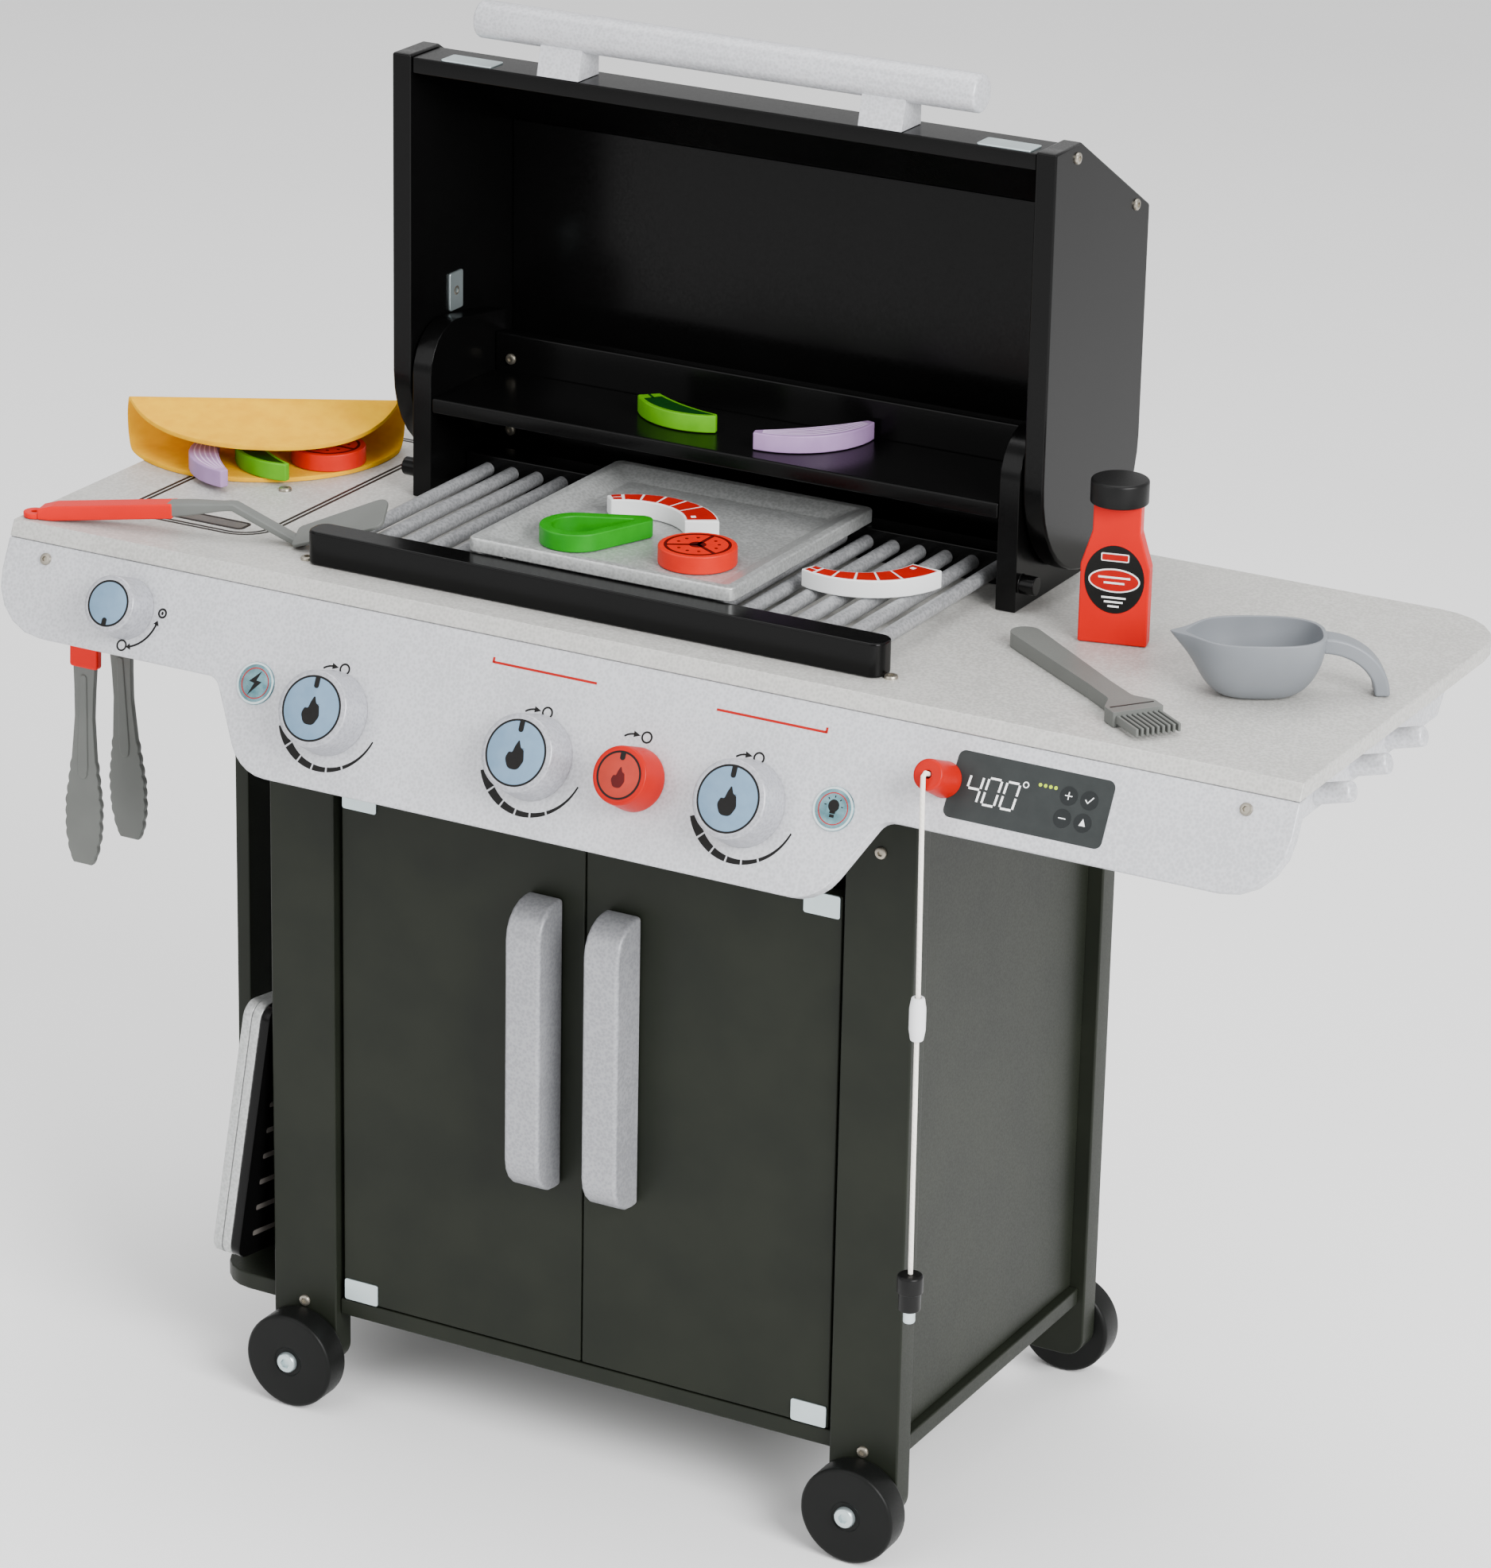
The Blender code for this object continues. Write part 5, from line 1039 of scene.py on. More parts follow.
@dataclass
class ControlPanel:
    """The slanted panel with its printed scales, screen and buttons, placed by x and drop."""

    burner_x: Triple = (-163.4, -36.1, 91.2)
    burner_drop: float = 58.5
    scale_radius: float = 32.0
    scale_stops: tuple[int, ...] = (203, 226, 246, 264, 281, 299, 343)
    side_x: float = -304.0
    side_drop: float = 26.0
    side_reach: float = 21.3
    digit_width: float = 7.2
    digit_height: float = 14.0
    digit_drop: float = 33.5
    key_radius: float = 4.9
    button_radius: float = 11.7
    left_button: tuple[float, float] = (-212.9, 51.2)
    right_button: tuple[float, float] = (141.6, 51.6)
    bolt_half: float = 363.0
    bolt_drop: float = 8.5
    bolt_radius: float = 3.4

    def scales(self) -> list[Skin]:
        """Arc pieces below each burner knob; outside they share one radius and they get thinner from
        left to right in step with the angle.

        Returns:
            A skin for each piece.
        """
        first, last = self.scale_stops[0], self.scale_stops[-1]
        skins = []
        for x in self.burner_x:
            for start, end in zip(self.scale_stops, self.scale_stops[1:]):
                angle = np.linspace(start, end - 2.0, 16)
                width = 0.9 + 4.9 * (1 - (angle - first) / (last - first)) ** 1.3
                reach = (self.scale_radius - width / 2)[:, None]
                along = np.radians(angle)[:, None]
                path = np.hstack([x + reach * np.cos(along), reach * np.sin(along) - self.burner_drop])
                skins.append(strip(path, width))
        return skins

    def marks(self) -> list[Skin]:
        """Small rings beside the knobs, each with a bent arrow, and the side knob's double arrow.

        Returns:
            The marks' skins.
        """
        skins = []
        for x, drop in ((-160.5, 33.8), (-33.9, 33.9), (27.0, 35.7), (93.4, 34.1)):
            head = np.array([[x - 8.0, 2.2 - drop], [x - 3.8, 0.3 - drop], [x - 7.8, -1.2 - drop]])
            skins.append(strip(arc(x, -drop, 2.8, 0, 356, 40), 1.0, True))
            skins.append(strip(arc(x - 7.0, -drop - 9.5, 10.0, 128, 92, 10), 1.0))
            skins.append(printed(head))
        reach = self.side_reach
        skins.append(strip(arc(self.side_x + 1.8, -self.side_drop - 20.3, 2.8, 0, 356, 40), 1.0, True))
        skins.append(strip(arc(self.side_x, -self.side_drop, reach, 290, 345), 1.1))
        for base, tip in ((290, 283), (345, 352)):
            angle = np.radians([base, tip, base])
            far = np.array([reach - 1.9, reach, reach + 1.9])
            skins.append(printed(np.stack([
                far * np.cos(angle) + self.side_x, far * np.sin(angle) - self.side_drop,
            ], axis=1)))
        flame_x, flame_drop = self.side_x + 23.0, self.side_drop - 1.4
        skins.append(strip(arc(flame_x, -flame_drop, 2.3, 0, 356, 40), 1.1, True))
        skins.append(printed(ellipse(flame_x, -flame_drop, 0.7, 1.0, 16)))
        return skins

    def brackets(self) -> list[Skin]:
        """Red lines over the knobs with short ticks at their outer ends.

        Returns:
            A skin for each line and tick.
        """
        skins = []
        for start, end, outer, drop in ((-72.5, -9.0, -72.5, 13.4), (63.3, 127.9, 127.9, 13.8)):
            skins.append(strip(line((start, -drop), (end, -drop)), 1.3))
            skins.append(strip(line((outer, -drop - 0.5), (outer, 2.6 - drop)), 1.3))
        return skins

    def digit(self, place: float, segments: str) -> list[Skin]:
        """One digit of lit bars, leaning right: A to F run clockwise from the top, G is the middle.

        Args:
            place: where its lower left corner stands along the panel.
            segments: letters of the bars that are lit.
        Returns:
            A skin for each bar.
        """
        width, tall, half = self.digit_width, self.digit_height, self.digit_height / 2
        ends = {
            "A": ((0, tall), (width, tall)), "B": ((width, half), (width, tall)),
            "C": ((width, 0), (width, half)), "D": ((0, 0), (width, 0)), "E": ((0, 0), (0, half)),
            "F": ((0, half), (0, tall)), "G": ((0, half), (width, half)),
        }
        skins = []
        for segment in segments:
            bar = line(*ends[segment])
            bar = bar + 0.09 * (bar[::-1] - bar)
            bar[:, 0] += place + 0.12 * bar[:, 1]
            bar[:, 1] -= self.digit_drop
            skins.append(strip(bar, 1.15, False, 0, 2 * PRINT_RISE))
        return skins

    def screen(self) -> None:
        """The printed screen with plain digits, four lamps and four keys."""
        outline = rounded([(204, -8, 4), (292, -8.3, 4), (291, -43.7, 4), (201.5, -43.3, 4)])
        add_skins("screen_print", [printed(outline)], SCREEN_GREY, PANEL)
        level, high = 2 * PRINT_RISE, 3 * PRINT_RISE
        digits = self.digit(211.5, "FGBC") + self.digit(221.7, "ABCDEF") + self.digit(231.9, "ABCDEF")
        digits.append(strip(arc(243.8, -19.2, 1.4, 0, 350), 0.6, True, 0, level))
        add_skins("screen_digits_print", digits, WHITE_INK, PANEL)
        lamps = [prism(ellipse(251.5 + 2.9 * index, -17.6, 0.95, 0.95, 20), 0, level) for index in range(4)]
        add_skins("screen_lamps_print", lamps, LIME_INK, PANEL)
        spots = ((268.0, -20.2), (279.5, -20.4), (267.0, -32.0), (278.5, -32.2))
        keys = [prism(ellipse(a, b, self.key_radius, self.key_radius, 32), 0, level) for a, b in spots]
        add_skins("screen_keys_print", keys, KEY_GREY, PANEL)
        plus, tick, minus, up = (np.array(spot) for spot in spots)
        flat, upright = np.array([2.0, 0.0]), np.array([0.0, 2.0])
        check = line((-2, 0), (-0.6, -1.6), (2.2, 1.8), count=4) + tick
        symbols = [
            strip(line(plus - flat, plus + flat), 0.5, False, 0, high),
            strip(line(plus - upright, plus + upright), 0.5, False, 0, high),
            strip(check, 0.55, False, 0, high),
            strip(line(minus - flat, minus + flat), 0.5, False, 0, high),
            prism(np.array([[-1.8, -1.6], [1.8, -1.6], [0.0, 2.1]]) + up, 0, high),
        ]
        add_skins("screen_symbols_print", symbols, WHITE_INK, PANEL)

    def button(self, word: str, x: float, drop: float, sign: list[Skin]) -> None:
        """A flat round steel button with a pale rim, a thin red ring and a sign.

        Args:
            word: left or right, for the pieces' names.
            x: place along the panel.
            drop: place down its slope.
            sign: closed skins of the sign.
        """
        place = Station(on_panel(x, drop), PANEL_TURN)
        edge = self.button_radius
        disc = lathed([(0, 0.0, 0), (edge, 0.0, 0), (edge, 0.9, 0.4), (0, 0.9, 0)], 56, 3)
        add_skins(f"{word}_button", [disc], BUTTON_STEEL, place)
        for part, inset, width, finish in (("rim", 0.8, 1.1, ZINC), ("ring", 3.4, 0.5, RED_INK)):
            band = strip(arc(0, 0, edge - inset, 0, 355, 72), width, True, 0.8, 1.0)
            add_skins(f"{word}_button_{part}", [band], finish, place)
        add_skins(f"{word}_button_print", sign, BLACK_INK, place)

    def buttons(self) -> None:
        """One button with a spark and one with a shining bulb."""
        low, high = 0.8, 1.05
        spark = np.array([[2.6, 7.0], [-4.0, 0.6], [-0.6, 0.0], [-3.4, -7.0], [3.8, 1.2], [0.4, 1.6]])
        bulb = [prism(outline, low, high) for outline in (
            ellipse(0, 1.6, 3.1, 3.3, 30), rectangle(-1.6, 1.6, -2.6, -1.3),
            rectangle(-1.3, 1.3, -4.6, -3.0),
        )]
        bulb += [
            strip(arc(0, 1.6, 4.8, turn - 3, turn + 3, 3), 1.1, False, low, high)
            for turn in range(0, 181, 45)
        ]
        self.button("left", *self.left_button, [prism(spark, low, high)])
        self.button("right", *self.right_button, bulb)

    def build(self) -> None:
        """Dresses the board and puts everything printed on it."""
        ease_node("control_panel", SILVER, 0.9)
        add_skins("knob_scales_print", self.scales(), BLACK_INK, PANEL)
        add_skins("knob_marks_print", self.marks(), BLACK_INK, PANEL)
        add_skins("bracket_print", self.brackets(), RED_INK, PANEL)
        self.screen()
        self.buttons()
        ends = [Station(on_panel(x, self.bolt_drop), PANEL_TURN) for x in (-self.bolt_half, self.bolt_half)]
        add_bolts("panel_bolts", ends, self.bolt_radius)


class KnobKind(Enum):
    """Radius at the panel, radius in front, height and face radius of a knob."""

    BURNER = (23.2, 21.0, 20.5, 18.0)
    SMALL = (17.2, 15.7, 20.0, 12.9)


@dataclass
class Knob:
    """A turning knob with a printed face, a pointer at an angle and, if it has an ink, a flame."""

    node: str
    x: float
    drop: float
    kind: KnobKind
    side: Finish
    face: Finish
    flame_ink: Finish | None = None
    pointer: float = 90.0
    flame_face: float = 15.5

    def flame(self, face: float) -> Array:
        """A plain flame's outline, scaled to the knob's face.

        Args:
            face: radius of the face.
        Returns:
            Array of points.
        """
        corners = [
            (0.5, 7.4, 0.4), (2.4, 2.6, 1.5), (3.6, 3.4, 0.6), (4.9, -2.0, 3.0), (2.6, -6.6, 3.0),
            (-2.6, -6.6, 3.0), (-4.9, -2.0, 3.0), (-3.4, 1.6, 0.8), (-2.0, 0.2, 0.8), (-1.0, 4.0, 2.0),
        ]
        return rounded(corners, 4) * face / self.flame_face - np.array([0, 1.2])

    def build(self) -> None:
        """Turns the knob's side and lays its face, pointer and flame on it."""
        base, front, height, face = self.kind.value
        height -= 3 * PRINT_RISE
        top = height + PRINT_RISE
        station = Station(on_panel(self.x, self.drop), PANEL_TURN)
        side = lathed([
            (0, AIR, 0), (base, AIR, 0.3), (base, 1.8, 0.8), (front, height - 0.4, 1.4),
            (face + 1.0, height, 0.6), (0, height, 0),
        ], 96)
        add_skins(f"{self.node}_turned", [side], self.side, station, self.node, (self.node,))
        disc = lathed([(0, height - 0.2, 0), (face, height - 0.2, 0), (face, top, 0.1), (0, top, 0)], 96, 2)
        add_skins(f"{self.node}_face", [disc], self.face, station, self.node)
        turn = Matrix.Rotation(math.radians(self.pointer - 90), 3, "Z")
        low, high = face * 0.62, face * 0.97
        bar = rounded([(-1.5, low, 1.4), (1.5, low, 1.4), (1.5, high, 0), (-1.5, high, 0)])
        ring = strip(arc(0, 0, face - 0.5, 0, 357, 96), 1.1, True, height, top + 0.05)
        prints = [prism(bar, height, top + PRINT_RISE), ring]
        pointed = Station(station.origin, PANEL_TURN @ turn)
        add_skins(f"{self.node}_pointer", prints, BLACK_INK, pointed, self.node)
        if self.flame_ink is not None:
            flame = prism(self.flame(face), height, top + PRINT_RISE)
            add_skins(f"{self.node}_flame", [flame], self.flame_ink, station, self.node)


@dataclass
class Cabinet:
    """Posts, legs, boards, wheels and doors below the worktop."""

    half: float = 201.5
    post_width: float = 42.0
    post_thickness: float = 16.0
    post_front: float = 25.1
    leg_front: float = 259.7
    foot_z: float = -476.5
    foot_corner: float = 12.0
    wheel_z: float = -468.3
    wheel_radius: float = 28.2
    wheel_width: float = 18.0
    front_wheel_y: float = 24.1
    rear_wheel_y: float = 276.7
    wheel_bolt: float = 6.0
    door_half: float = 156.6
    door_front: float = 29.2
    plate_inset: float = 1.0
    plate_width: float = 22.0
    plate_height: float = 13.0
    plate_levels: tuple[float, float] = (-431.0, -130.4)
    front_bolts: tuple[float, float] = (-437.0, -86.0)
    rear_bolts: tuple[float, float] = (-437.0, -60.0)
    bolt_radius: float = 3.4

    def posts(self) -> None:
        """Two front posts and two rear legs with rounded feet."""
        for side, word in SIDES:
            outer = HEAD_X + side * self.half
            low, high = sorted((outer, outer - side * self.post_width))
            corner, top = self.foot_corner, -AIR
            outline = rounded([
                (low, self.foot_z, corner), (high, self.foot_z, corner), (high, top, 0), (low, top, 0),
            ])
            for node, front in (
                (f"front_{word}_post", self.post_front), (f"rear_{word}_leg", self.leg_front),
            ):
                board = prism(outline, front, front + self.post_thickness, Axis.Y)
                add_skins(f"{node}_board", [board], CHARCOAL, replaces=(node,), bevel=1.2)

    def wheels(self) -> None:
        """Four solid wheels with eased rims and their bolts."""
        rim, wide = self.wheel_radius, self.wheel_width
        wheel = lathed([
            (3.2, 0, 0), (rim, 0, 2.2), (rim, wide, 2.2), (9.0, wide, 0.5), (8.4, wide - 0.6, 0.3),
            (3.2, wide - 0.6, 0),
        ], 96, 5, looped=True)
        axle = turned([(0, -6), (3.0, -6), (3.0, wide + 0.2), (0, wide + 0.2)], 32)
        head = moved(bolt_skin(self.wheel_bolt), z=wide + 0.1)
        for side, word in SIDES:
            middle = HEAD_X + side * (self.half - self.post_width / 2)
            for node, near, out, post in (
                (f"front_{word}_wheel", self.front_wheel_y, -1, f"front_{word}_post"),
                (f"rear_{word}_wheel", self.rear_wheel_y, 1, f"rear_{word}_leg"),
            ):
                turn = Matrix.Rotation(-out * math.pi / 2, 3, "X")
                station = Station((middle, near, self.wheel_z), turn)
                add_skins(f"{node}_turned", [wheel], WHEEL_BLACK, station, node, (node,))
                add_skins(f"{node}_bolt", [axle, head], ZINC, station, replaces=(post,))

    def doors(self) -> None:
        """Both doors with their handles and corner plates."""
        for side, word in SIDES:
            body = f"{word}_door"
            ease_node(body, CHARCOAL, 1.0)
            # The handles' darker grey silver is painted shade
            ease_node(f"{word}_door_handle", SHADED_HANDLE_SILVER, 2.4, 4)
            outer = HEAD_X + side * self.door_half
            edge = outer - side * self.plate_inset
            low, high = sorted((edge, edge - side * self.plate_width))
            front, tall = self.door_front, self.plate_height
            plates = [
                prism(rectangle(low, high, level, level + tall, 1.5), front - 1.1, front, Axis.Y)
                for level in self.plate_levels
            ]
            add_skins(f"{body}_plates", plates, ZINC, body=body, bevel=0.25)

    def build(self) -> None:
        """Dresses the cabinet."""
        self.posts()
        self.wheels()
        for node in ("bottom_board", "left_side_panel", "right_side_panel", "back_panel", "storage_board"):
            ease_node(node, CHARCOAL, 1.0)
        self.doors()
        bolts = []
        for side, _ in SIDES:
            middle = HEAD_X + side * (self.half - self.post_width / 2)
            back = self.leg_front + self.post_thickness
            bolts += [facing(middle, self.post_front, level, (0, -1, 0)) for level in self.front_bolts]
            bolts += [facing(middle, back, level, (0, 1, 0)) for level in self.rear_bolts]
        add_bolts("post_bolts", bolts, self.bolt_radius)


@dataclass
class HookRails:
    """Rails with three tilted pegs under both ends of the worktop."""

    inner: float = 370.0
    thickness: float = 9.0
    peg_radius: float = 5.5
    peg_length: float = 20.5
    peg_z: float = -13.0
    first_peg: float = 48.0
    pitch: float = 46.5
    tilt: float = 15.0

    def build(self) -> None:
        """Makes both rails and their pegs."""
        outline = rounded([(12, -AIR, 0), (220, -AIR, 0), (216.3, -11, 3), (209, -21.7, 2), (12, -21.7, 3)])
        radius, length = self.peg_radius, self.peg_length
        peg = lathed([(0, -4, 0), (radius, -4, 0), (radius, length, 1.8), (0, length, 0)], 48)
        tilt = math.radians(self.tilt)
        for side, word in SIDES:
            node = f"{word}_hook_rail"
            outer = side * (self.inner + self.thickness)
            low, high = sorted((side * self.inner, outer))
            board = prism(outline, low, high, Axis.X)
            add_skins(f"{node}_board", [board], SILVER, replaces=(node,), bevel=1.0)
            for index in range(3):
                y = self.first_peg + self.pitch * index
                place = facing(outer, y, self.peg_z, (side * math.cos(tilt), 0, math.sin(tilt)))
                add_skins(f"{node}_peg_{index + 1}", [peg], SILVER, place, replaces=(node,))


@dataclass
class GrillHead:
    """Grate and firebox on the worktop."""

    rods: int = 21
    pitch: float = 16.17
    rod_radius: float = 4.0
    rod_z: float = 20.0
    rod_front: float = 40.0
    rod_back: float = 195.0
    bar_low: float = 9.3
    bar_high: float = 28.3
    bar_width: float = 18.0
    bolt_y: float = 225.0
    bolt_xs: tuple[float, float] = (-201.0, 131.0)
    bolt_zs: tuple[float, float] = (34.0, 76.0)
    bolt_radius: float = 3.2

    def build(self) -> None:
        """Makes bars and rods and dresses the firebox."""
        for word, half, front, corner, bevel, segments in (
            ("front", 176.5, 24.5, 7, 1.4, 3), ("back", 176.9, 192.7, 0, 1.2, 2),
        ):
            plan = rectangle(HEAD_X - half, HEAD_X + half, front, front + self.bar_width, corner)
            add_skins(
                f"grate_{word}_bar", [prism(plan, self.bar_low, self.bar_high)], BLACK, replaces=("grate",),
                bevel=bevel, segments=segments,
            )
        rods = []
        for index in range(self.rods):
            x = HEAD_X + self.pitch * (index - (self.rods - 1) / 2)
            path = np.array([[x, self.rod_front, self.rod_z], [x, self.rod_back, self.rod_z]])
            rods.append(swept(path, (1, 0, 0), ellipse(0, 0, self.rod_radius, self.rod_radius, 28)))
        add_skins("grate_rods", rods, ROD_SILVER, replaces=("grate",))
        for node in ("firebox_left_board", "firebox_right_board", "firebox_back", "warming_shelf"):
            ease_node(node, BLACK, 1.2)
        add_bolts("firebox_bolts", [
            facing(x, self.bolt_y, z, (0, -1, 0)) for x in self.bolt_xs for z in self.bolt_zs
        ], self.bolt_radius)


@dataclass
class Lid:
    """The lid with its handle, plates and bolts."""

    bar_radius: float = 10.5
    bar_half: float = 153.0
    bar_y: float = 170.0
    bar_z: float = 286.0
    block_offset: float = 98.5
    block_half: float = 13.0
    block_depth: float = 11.25
    block_low: float = 261.8
    block_high: float = 278.3
    plate_spans: tuple[tuple[float, float], ...] = ((-208.0, -176.0), (120.4, 152.0))
    cheek_half: float = 203.0
    cheek_bolts: tuple[tuple[float, float], ...] = ((182.6, 255.7), (259.0, 213.5))
    strap_bolt: Triple = (-225.75, 204.0, 118.0)
    bolt_radius: float = 3.2

    def handle(self) -> None:
        """A round bar with eased ends in the grooves of two blocks."""
        radius, half = self.bar_radius, self.bar_half
        bar = lathed([(0, -half, 0), (radius, -half, 1.8), (radius, half, 1.8), (0, half, 0)], 72)
        station = facing(HEAD_X, self.bar_y, self.bar_z, (1, 0, 0))
        add_skins("lid_handle_bar", [bar], SILVER, station, "lid", ("lid_handle",))
        front, back, top = self.bar_y - self.block_depth, self.bar_y + self.block_depth, self.block_high
        groove = radius * 0.99
        spread = math.degrees(math.acos((self.bar_z - top) / groove))
        seat = arc(self.bar_y, self.bar_z, groove, -90 - spread, -90 + spread, 14)
        outline = np.vstack([
            [front, self.block_low], [front + 4, top], seat, [back, top], [back, self.block_low],
        ])
        for side, word in SIDES:
            middle = HEAD_X + side * self.block_offset
            block = prism(outline, middle - self.block_half, middle + self.block_half, Axis.X)
            name = f"lid_handle_{word}_block"
            add_skins(name, [block], SILVER, body="lid", replaces=("lid_handle",), bevel=0.8)

    def fittings(self) -> None:
        """Steel plates in the corners under the front edge, a strap on the left cheek and its bolts."""
        plates = [
            prism(rectangle(low, high, 159.5, 174.0, 1.5), 261.4, 262.3)
            for low, high in self.plate_spans
        ]
        add_skins("lid_corner_plates", plates, ZINC, body="lid", bevel=0.25)
        strap = [prism(rectangle(197.0, 211.0, 107.0, 129.0, 1.5), -225.8, -224.4, Axis.X)]
        add_skins("lid_strap", strap, ZINC, body="lid", bevel=0.3)
        bolts = [facing(*self.strap_bolt, (1, 0, 0))]
        for side, _ in SIDES:
            outer = HEAD_X + side * self.cheek_half
            bolts += [facing(outer, y, z, (side, 0, 0)) for y, z in self.cheek_bolts]
        add_bolts("lid_bolts", bolts, self.bolt_radius, "lid")

    def build(self) -> None:
        """Dresses cheeks and boards and adds handle and fittings."""
        for node in ("lid_left_cheek", "lid_right_cheek"):
            ease_node(node, BLACK, 1.4, 3)
        for node in ("lid_top_board", "lid_sloped_board", "lid_back_board"):
            ease_node(node, BLACK, 0.8)
        self.handle()
        self.fittings()


@dataclass(frozen=True)
class ArcSlice:
    """A slice of food along an arc: middle line of a length and a bend, width through three values."""

    length: float
    bend: float
    widths: Triple

    def outline(
        self, start: float, end: float, left: float, right: float, inset: float, steps: int = 20,
    ) -> Array:
        """Part of the slice as a closed outline.

        The middle line is a circle arc; each side lies half the width away along its normal, and
        the width is the parabola through the three given ones.

        Args:
            start: share of the length where the part begins.
            end: share where it ends.
            left: side of the part as a share of the half width.
            right: its other side.
            inset: millimetres that both sides keep off the slice's edge.
            steps: points along each side.
        Returns:
            Array of points.
        """
        share = np.linspace(start, end, steps)
        bend = math.radians(self.bend)
        angle = bend * (share - 0.5)
        middle = np.stack([np.sin(angle), 1 - np.cos(angle)], axis=1) * self.length / bend
        first, centre, last = self.widths
        width = (
            first * (1 - share) * (1 - 2 * share) + centre * 4 * share * (1 - share)
            + last * share * (2 * share - 1)
        )
        reach = np.maximum(width / 2 - inset, 0.2)[:, None]
        normal = np.stack([-np.sin(angle), np.cos(angle)], axis=1) * reach
        return np.vstack([middle + left * normal, (middle + right * normal)[::-1]])


SHRIMP = ArcSlice(74.0, -105.0, (9.0, 15.0, 19.0))
CHILI = ArcSlice(56.0, 60.0, (13.0, 16.0, 4.0))
ONION = ArcSlice(72.0, 62.0, (5.0, 17.0, 5.0))


@dataclass
class FoodSlice:
    """A slice of painted board with a printed top, in a level station at its underside."""

    node: str
    station: Station
    flipped: bool = False
    thickness: float = 10.0
    ease: float = 0.8

    def draw(self, name: str, skins: list[Skin], ink: Finish) -> None:
        """Adds a print to the slice, with the slice's name before its own."""
        add_skins(f"{self.node}_{name}", skins, ink, self.station, NODE_BODY[self.node])

    def lay(self, name: str, outlines: list[Array], ink: Finish) -> None:
        """Prints closed outlines on the top face."""
        self.draw(name, [printed(outline, 1, self.thickness) for outline in outlines], ink)

    def shrimp(self) -> None:
        """White body with red bands, a small eye and a printed tail."""
        ease_node(self.node, SHRIMP_WHITE, self.ease)
        cuts = (0.11, 0.25, 0.4, 0.55, 0.7, 0.975)
        flip = np.array([1.0, -1.0 if self.flipped else 1.0])
        bands = [
            SHRIMP.outline(a + 0.009, b - 0.009, 1, -1, 1.25) * flip for a, b in zip(cuts, cuts[1:])
        ]
        bands += [SHRIMP.outline(0.025, 0.095, a, b, 0.9, 6) * flip for a, b in ((1, 0.12), (-0.12, -1))]
        self.lay("bands_print", bands, RED_INK)
        eye = SHRIMP.outline(0.875, 0.915, -0.35, -0.7, 1.5, 6) * flip
        top = self.thickness
        self.draw("eye_print", [prism(eye, top, top + 2 * PRINT_RISE)], WHITE_INK)

    def chili(self) -> None:
        """Lime rim round a dark green pod with a stalk."""
        ease_node(self.node, CHILI_GREEN, self.ease)
        pod = CHILI.outline(0.13, 0.96, 1, -1, 2.4)
        stalk = CHILI.outline(0.02, 0.15, 0.12, -0.12, 1.0, 6)
        self.lay("pod_print", [pod, stalk], DARK_GREEN_INK)

    def onion(self) -> None:
        """Lilac slice with pale curved rings."""
        ease_node(self.node, ONION_LILAC, self.ease)
        rings = [
            ONION.outline(0.07, 0.93, side, side - 0.12, 1.2, 24)
            for side in (0.95, 0.55, 0.15, -0.25, -0.65)
        ]
        self.lay("rings_print", rings, PALE_LILAC_INK)

    def tomato(self) -> None:
        """Red slice with a dark ring, three spokes round a core and small seeds."""
        ease_node(self.node, TOMATO_RED, self.ease)
        low, high = self.thickness - PRINT_SINK, self.thickness + PRINT_RISE
        ring, core, spoke_end, seed_ring, seed_half = 17.4, 4.6, 16.8, 11.5, 0.9
        skins = [
            strip(arc(0, 0, ring, 0, 357, 90), 1.6, True, low, high),
            prism(ellipse(0, 0, core, core, 30), low, high),
        ]
        for spoke in (90, 210, 330):
            angle = math.radians(spoke)
            end = (spoke_end * math.cos(angle), spoke_end * math.sin(angle))
            skins.append(strip(line((0, 0), end), 2.0, False, low, high))
            for turn in (-32, 0, 32):
                seed = math.radians(spoke + 60 + turn)
                a, b = seed_ring * math.cos(seed), seed_ring * math.sin(seed)
                skins.append(prism(ellipse(a, b, seed_half, seed_half, 12), low, high))
        self.draw("seeds_print", skins, MAROON_INK)

    def pepper(self) -> None:
        """A green drop with a drop-shaped hole: two circles and their common tangents, inside and out."""
        walls = []
        for radius, tip, distance in ((20.0, 6.0, 37.0), (13.2, 1.3, 31.0)):
            lean = math.degrees(math.acos((radius - tip) / distance))
            body, end = arc(0, 0, radius, lean, 360 - lean, 60), arc(distance, 0, tip, -lean, lean)
            walls.append(np.vstack([body, end]))
        outer, inner = walls
        rings = [np.hstack([wall, np.full((len(wall), 1), level)]) for wall, level in (
            (outer, 0.0), (outer, self.thickness), (inner, self.thickness), (inner, 0.0),
        )]
        skin = loft(np.array(rings), True)
        body = NODE_BODY[self.node]
        add_skins("pepper_ring", [skin], PEPPER_GREEN, self.station, body, (self.node,), self.ease)


@dataclass
class Tray:
    """A square griddle tray with a raised rim and a sloping recess."""

    place: Triple = (-36.2, 122.0, 28.6)
    ease: float = 0.3

    def build(self) -> None:
        """A stack of rounded squares: half side, corner radius and height of each."""
        levels = (
            (80.6, 4.0, 0.0), (81.4, 4.8, 0.7), (81.4, 4.8, 7.0), (81.0, 4.4, 7.7), (80.3, 3.8, 8.0),
            (76.4, 3.2, 8.0), (75.7, 3.0, 7.7), (64.2, 4.5, 2.9), (63.0, 4.0, 2.5),
        )
        rings = []
        for half, corner, level in levels:
            square = rectangle(-half, half, -half, half, corner)
            rings.append(np.hstack([square, np.full((len(square), 1), level)]))
        skin = loft(np.array(rings))
        add_skins("tray_pressed", [skin], TRAY_SILVER, Station(self.place), "tray", ("tray",), self.ease)


